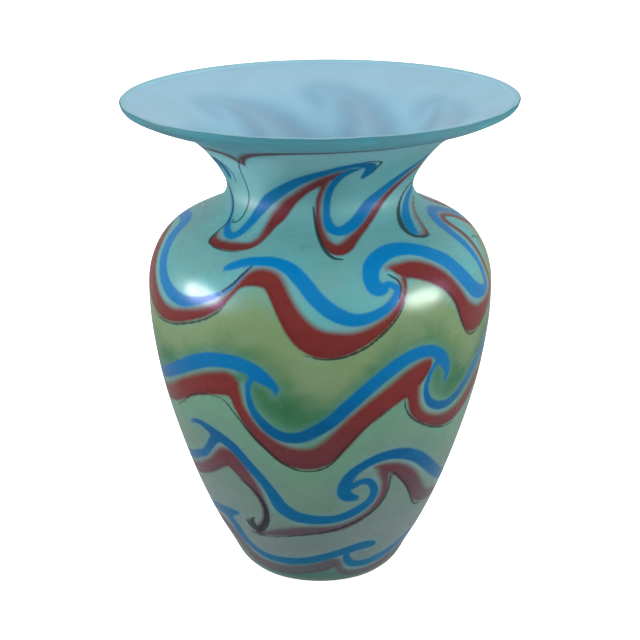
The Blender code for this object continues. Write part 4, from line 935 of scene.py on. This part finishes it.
class Graph:
    """Short calls for the nodes of one material or of the world."""

    def __init__(self, owner, shader="Principled BSDF"):
        owner.use_nodes = True
        self.owner = owner
        self.tree = owner.node_tree
        self.shader = self.tree.nodes[shader]

    def put(self, socket, value):
        if isinstance(value, bpy.types.NodeSocket):
            self.tree.links.new(value, socket)
        else:
            socket.default_value = value

    def end(self, name, value):
        """Sets an input of the shader."""
        self.put(self.shader.inputs[name], value)

    def node(self, kind, inputs, output, **settings):
        """A new node; returns one of its outputs."""
        node = self.tree.nodes.new("ShaderNode" + kind)
        for key, value in settings.items():
            setattr(node, key, value)
        for key, value in inputs.items():
            self.put(node.inputs[key], value)
        return node.outputs[output]

    def attribute(self, name):
        return self.node("Attribute", {}, "Fac", attribute_name=name)

    def math(self, operation, first, second=0.0, third=0.0):
        return self.node("Math", {0: first, 1: second, 2: third}, 0, operation=operation)

    def smooth(self, value, low, high, to_low=0.0, to_high=1.0):
        """Soft step from to_low at low to to_high at high."""
        inputs = {"Value": value, "From Min": low, "From Max": high, "To Min": to_low, "To Max": to_high}
        return self.node("MapRange", inputs, "Result", interpolation_type="SMOOTHSTEP")

    def noise(self, size, detail=2.0, roughness=0.5, stretch=(1.0, 1.0, 1.0), distortion=0.0):
        """Noise from 0 to 1; size is the size of its blobs in millimetres."""
        place = self.node("TexCoord", {}, "Object")
        stretched = self.node("Mapping", {"Vector": place, "Scale": stretch}, "Vector")
        inputs = {"Vector": stretched, "Scale": 1.0 / (size * MM), "Detail": detail,
                  "Roughness": roughness, "Distortion": distortion}
        return self.node("TexNoise", inputs, "Fac")

    def centred(self, noise, width):
        """The noise spread over this width, half of it below 0."""
        return self.math("MULTIPLY_ADD", noise, width, -width / 2)

    def mix(self, share, first, second):
        """First where the share is 0, second where it is 1; either may be a display colour."""
        colours = [linear(value) if isinstance(value, tuple) else value for value in (first, second)]
        return self.node("Mix", {0: share, 6: colours[0], 7: colours[1]}, 2, data_type="RGBA")

    def ramp(self, value, top, stops):
        """Colours from 0 to the top: stops are (place, display colour)."""
        node = self.tree.nodes.new("ShaderNodeValToRGB")
        node.color_ramp.interpolation = "EASE"
        points = node.color_ramp.elements
        while len(points) < len(stops):
            points.new(0.5)
        for point, (place, colour) in zip(points, stops):
            point.position = place / top
            point.color = linear(colour)
        self.put(node.inputs["Fac"], self.math("DIVIDE", value, top))
        return node.outputs["Color"]

    def relief(self, fine_size, depth):
        """Slow ripple with a trace of fine grain, as a normal; the depth is in millimetres."""
        ripple = self.math("MULTIPLY", self.noise(30.0, 2.0, 0.4), 0.85)
        fine = self.math("MULTIPLY", self.noise(fine_size, 3.0, 0.5), 0.02)
        inputs = {"Strength": 1.0, "Distance": depth * MM, "Height": self.math("ADD", ripple, fine)}
        return self.node("Bump", inputs, "Normal")


def ground_colour(graph, cloud, streak, blue_depth, red_depth):
    """The clouded ground between the threads, paler next to a thread."""
    zone = graph.math("ADD", graph.attribute("zone"), graph.centred(cloud, 0.3))
    # the ground ramp also paints the shade under the lip
    ground = graph.ramp(zone, TOP_ZONE, GROUND_AND_LIP_SHADE)
    ground = graph.mix(graph.smooth(cloud, 0.35, 0.7, 0.0, 0.14), ground, PALE_CLOUD)
    ground = graph.mix(graph.smooth(streak, 0.45, 0.75, 0.0, 0.16), ground, GREEN_STREAK)
    ground = graph.mix(graph.smooth(blue_depth, *BLUE_GLOW_REACH, 0.0, 0.22), ground, GLOW_BY_BLUE)
    near_blue = graph.smooth(blue_depth, *BLUE_GLOW_REACH)
    near_red = graph.smooth(red_depth, *RED_GLOW_REACH, 0.0, 0.5)
    return graph.mix(graph.math("MULTIPLY", near_blue, near_red), ground, GLOW_BETWEEN)


def wall_glass(name):
    """Opaque cased glass with the pattern of the threads; the same recipe serves every wall piece."""
    graph = Graph(bpy.data.materials.new(name))
    up = graph.attribute("up")
    edge = graph.math("ADD", graph.centred(graph.noise(7.0, 3.0), 0.7), graph.centred(graph.noise(1.2), 0.3))
    red_depth = graph.math("ADD", graph.attribute("red"), edge)
    red_side = graph.attribute("red_side")
    blue_depth = graph.math("ADD", graph.attribute("blue"), edge)
    cloud = graph.noise(24.0, 4.0, 0.55, stretch=(1.0, 1.0, 1.6), distortion=0.4)
    streak = graph.noise(9.0, 5.0, 0.6, stretch=(0.5, 0.5, 1.4), distortion=0.2)
    ground = ground_colour(graph, cloud, streak, blue_depth, red_depth)

    high = graph.math("ADD", up, graph.centred(cloud, 20.0))
    red = graph.ramp(high, WALL_TOP, RED)
    red = graph.mix(graph.smooth(red_side, -1.1, -0.2, 0.4, 0.0), red, RED_UNDERSIDE)
    red = graph.mix(graph.smooth(streak, 0.4, 0.7, 0.0, 0.2), red, RED_STREAK)
    crisp = graph.smooth(red_depth, *CRISP_RED_EDGE)
    soft = graph.smooth(red_depth, *SOFT_RED_EDGE)
    red_share = graph.mix(graph.smooth(red_side, -0.5, 0.6), crisp, soft)
    blue = graph.ramp(high, WALL_TOP, BLUE)
    blue = graph.mix(graph.smooth(streak, 0.4, 0.72, 0.0, 0.2), blue, BLUE_STREAK)
    blue_share = graph.smooth(blue_depth, *BLUE_EDGE)
    off_hairline = graph.math("ABSOLUTE", graph.attribute("dark_side"))
    hairline_depth = graph.math("SUBTRACT", graph.attribute("dark_width"), off_hairline)
    dark_share = graph.smooth(hairline_depth, *HAIRLINE_EDGE, 0.0, 0.85)

    colour = graph.mix(red_share, ground, red)
    colour = graph.mix(blue_share, colour, blue)
    graph.end("Base Color", graph.mix(dark_share, colour, HAIRLINE))
    graph.end("Normal", graph.relief(2.6, 0.6))
    satin = graph.smooth(graph.noise(14.0, 3.0), 0.3, 0.7, 0.25, 0.31)
    duller_neck = graph.smooth(up, 222.0, 238.0, 0.0, 0.25)
    graph.end("Roughness", graph.math("ADD", satin, duller_neck))
    lustre = graph.mix(graph.smooth(cloud, 0.35, 0.65), COOL_LUSTRE, WARM_LUSTRE)
    threads = graph.math("MAXIMUM", graph.math("MAXIMUM", red_share, blue_share), dark_share)
    graph.end("Specular Tint", graph.mix(threads, lustre, THREAD_LUSTRE))
    graph.end("IOR", BODY_IOR)
    return graph.owner


def lining_glass(name):
    """Pale blue satin opal glass; the threads show through it as faint clouds."""
    graph = Graph(bpy.data.materials.new(name))
    cloud = graph.noise(26.0, 4.0, 0.5, distortion=0.5)
    waver = graph.centred(graph.noise(14.0, 3.0), 5.0)
    # the lining ramp also paints a thin shade line on the lip
    colour = graph.ramp(graph.attribute("up"), WALL_TOP, LINING_AND_LIP_SHADE)
    colour = graph.mix(graph.smooth(cloud, 0.35, 0.7, 0.0, 0.25), colour, LINING_CLOUD)
    for thread, share, mark in (("red", 0.4, LINING_RED_MARK), ("blue", 0.36, LINING_BLUE_MARK)):
        depth = graph.math("ADD", graph.attribute(thread), waver)
        colour = graph.mix(graph.smooth(depth, *LINING_MARK_REACH, 0.0, share), colour, mark)
    graph.end("Base Color", colour)
    graph.end("Normal", graph.relief(2.2, 0.4))
    graph.end("Roughness", graph.smooth(cloud, 0.3, 0.7, 0.52, 0.62))
    graph.end("IOR", LINING_IOR)
    return graph.owner


# ---- studio ----
# Lengths in this section are metres.
WHITE = (1.0, 1.0, 1.0, 1.0)
FLOOR_REACH = 12.0        # from the middle to each side
FLOOR_DROP = 0.0002       # keeps the floor clear of the base
LIGHTS_AIM = 0.15         # height the lights point at
# name, azimuth (0 is the viewer's side, growing to the right), elevation, distance, size, power, and
# whether it only makes a highlight (True) or only brightens the glass (False)
LIGHTS = [
    ("left_box", -79, 7, 0.9, (0.44, 0.18), 14.0, True),
    ("right_box", 68, 9, 0.9, (0.4, 0.18), 13.0, True),
    ("front_fill", 0, 24, 2.0, (1.8, 1.8), 13.0, False),
    ("left_fill", -85, 14, 2.0, (1.6, 1.6), 20.0, False),
    ("right_fill", 85, 14, 2.0, (1.6, 1.6), 20.0, False),
    ("back_fill", 180, 24, 2.0, (1.8, 1.8), 12.0, False),
]
CAMERA_AIM = 0.1272       # height the camera points at, half the height of the vase
CAMERA_ELEVATION = 18.47  # degrees; the camera is a metre away
CAMERA_LENS = 106.57125   # millimetres, on a 36 mm sensor
CAMERA_SHIFT = 0.0171875  # moves the vase down in the picture, as a share of its width


def place(obj, aim_height, azimuth, elevation, distance):
    """Puts a light or the camera this far from a point above the base, facing it."""
    turn, rise = math.radians(azimuth), math.radians(elevation)
    away = Vector((math.sin(turn) * math.cos(rise), -math.cos(turn) * math.cos(rise), math.sin(rise)))
    obj.location = Vector((0.0, 0.0, aim_height)) + away * distance
    obj.rotation_euler = away.to_track_quat("Z", "Y").to_euler()
    bpy.context.scene.collection.objects.link(obj)


def build_floor():
    mesh = bpy.data.meshes.new("floor")
    corners = [(x * FLOOR_REACH, y * FLOOR_REACH, 0) for x, y in ((-1, -1), (1, -1), (1, 1), (-1, 1))]
    mesh.from_pydata(corners, [], [(0, 1, 2, 3)])
    floor = bpy.data.objects.new("floor", mesh)
    bpy.context.scene.collection.objects.link(floor)
    graph = Graph(bpy.data.materials.new("floor"))
    graph.end("Base Color", (0.9, 0.9, 0.9, 1.0))
    graph.end("Roughness", 0.9)
    graph.end("Specular IOR Level", 0.0)
    graph.end("Emission Color", WHITE)
    graph.end("Emission Strength", 0.9)
    mesh.materials.append(graph.owner)
    floor.location.z = -FLOOR_DROP
    floor.visible_diffuse = False
    floor.visible_glossy = False


def build_light(name, azimuth, elevation, distance, size, power, shine):
    data = bpy.data.lights.new(name, "AREA")
    data.shape = "RECTANGLE"
    data.size, data.size_y = size
    data.energy = power
    light = bpy.data.objects.new(name, data)
    light.visible_glossy = shine
    light.visible_diffuse = not shine
    place(light, LIGHTS_AIM, azimuth, elevation, distance)


def build_sky():
    """White surroundings, a little brighter above."""
    graph = Graph(bpy.data.worlds.new("studio"), "Background")
    where = graph.node("TexCoord", {}, "Generated")
    height = graph.node("SeparateXYZ", {"Vector": where}, "Z")
    graph.end("Strength", graph.smooth(height, -0.6, 0.9, 0.42, 0.5))
    graph.end("Color", WHITE)
    bpy.context.scene.world = graph.owner
    bpy.context.scene.view_settings.view_transform = "Standard"


def build_camera():
    data = bpy.data.cameras.new("camera")
    data.sensor_width = 36.0
    data.lens = CAMERA_LENS
    data.shift_y = CAMERA_SHIFT
    camera = bpy.data.objects.new("camera", data)
    place(camera, CAMERA_AIM, 0.0, CAMERA_ELEVATION, 1.0)
    bpy.context.scene.camera = camera


def main():
    pattern = Pattern()
    wall_mesh = WallMesh(pattern)
    pieces = {"celadon_body": build_body(wall_mesh), "opal_lining": build_lining(pattern)}
    for name in wall_mesh.thread_names:
        pieces[name] = build_trail(name, wall_mesh)
    for node, obj in pieces.items():
        look = lining_glass(node) if node == "opal_lining" else wall_glass(node)
        obj.data.materials.append(look)
        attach(obj, "root")
        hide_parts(node)
    build_floor()
    build_sky()
    for light in LIGHTS:
        build_light(*light)
    build_camera()


main()
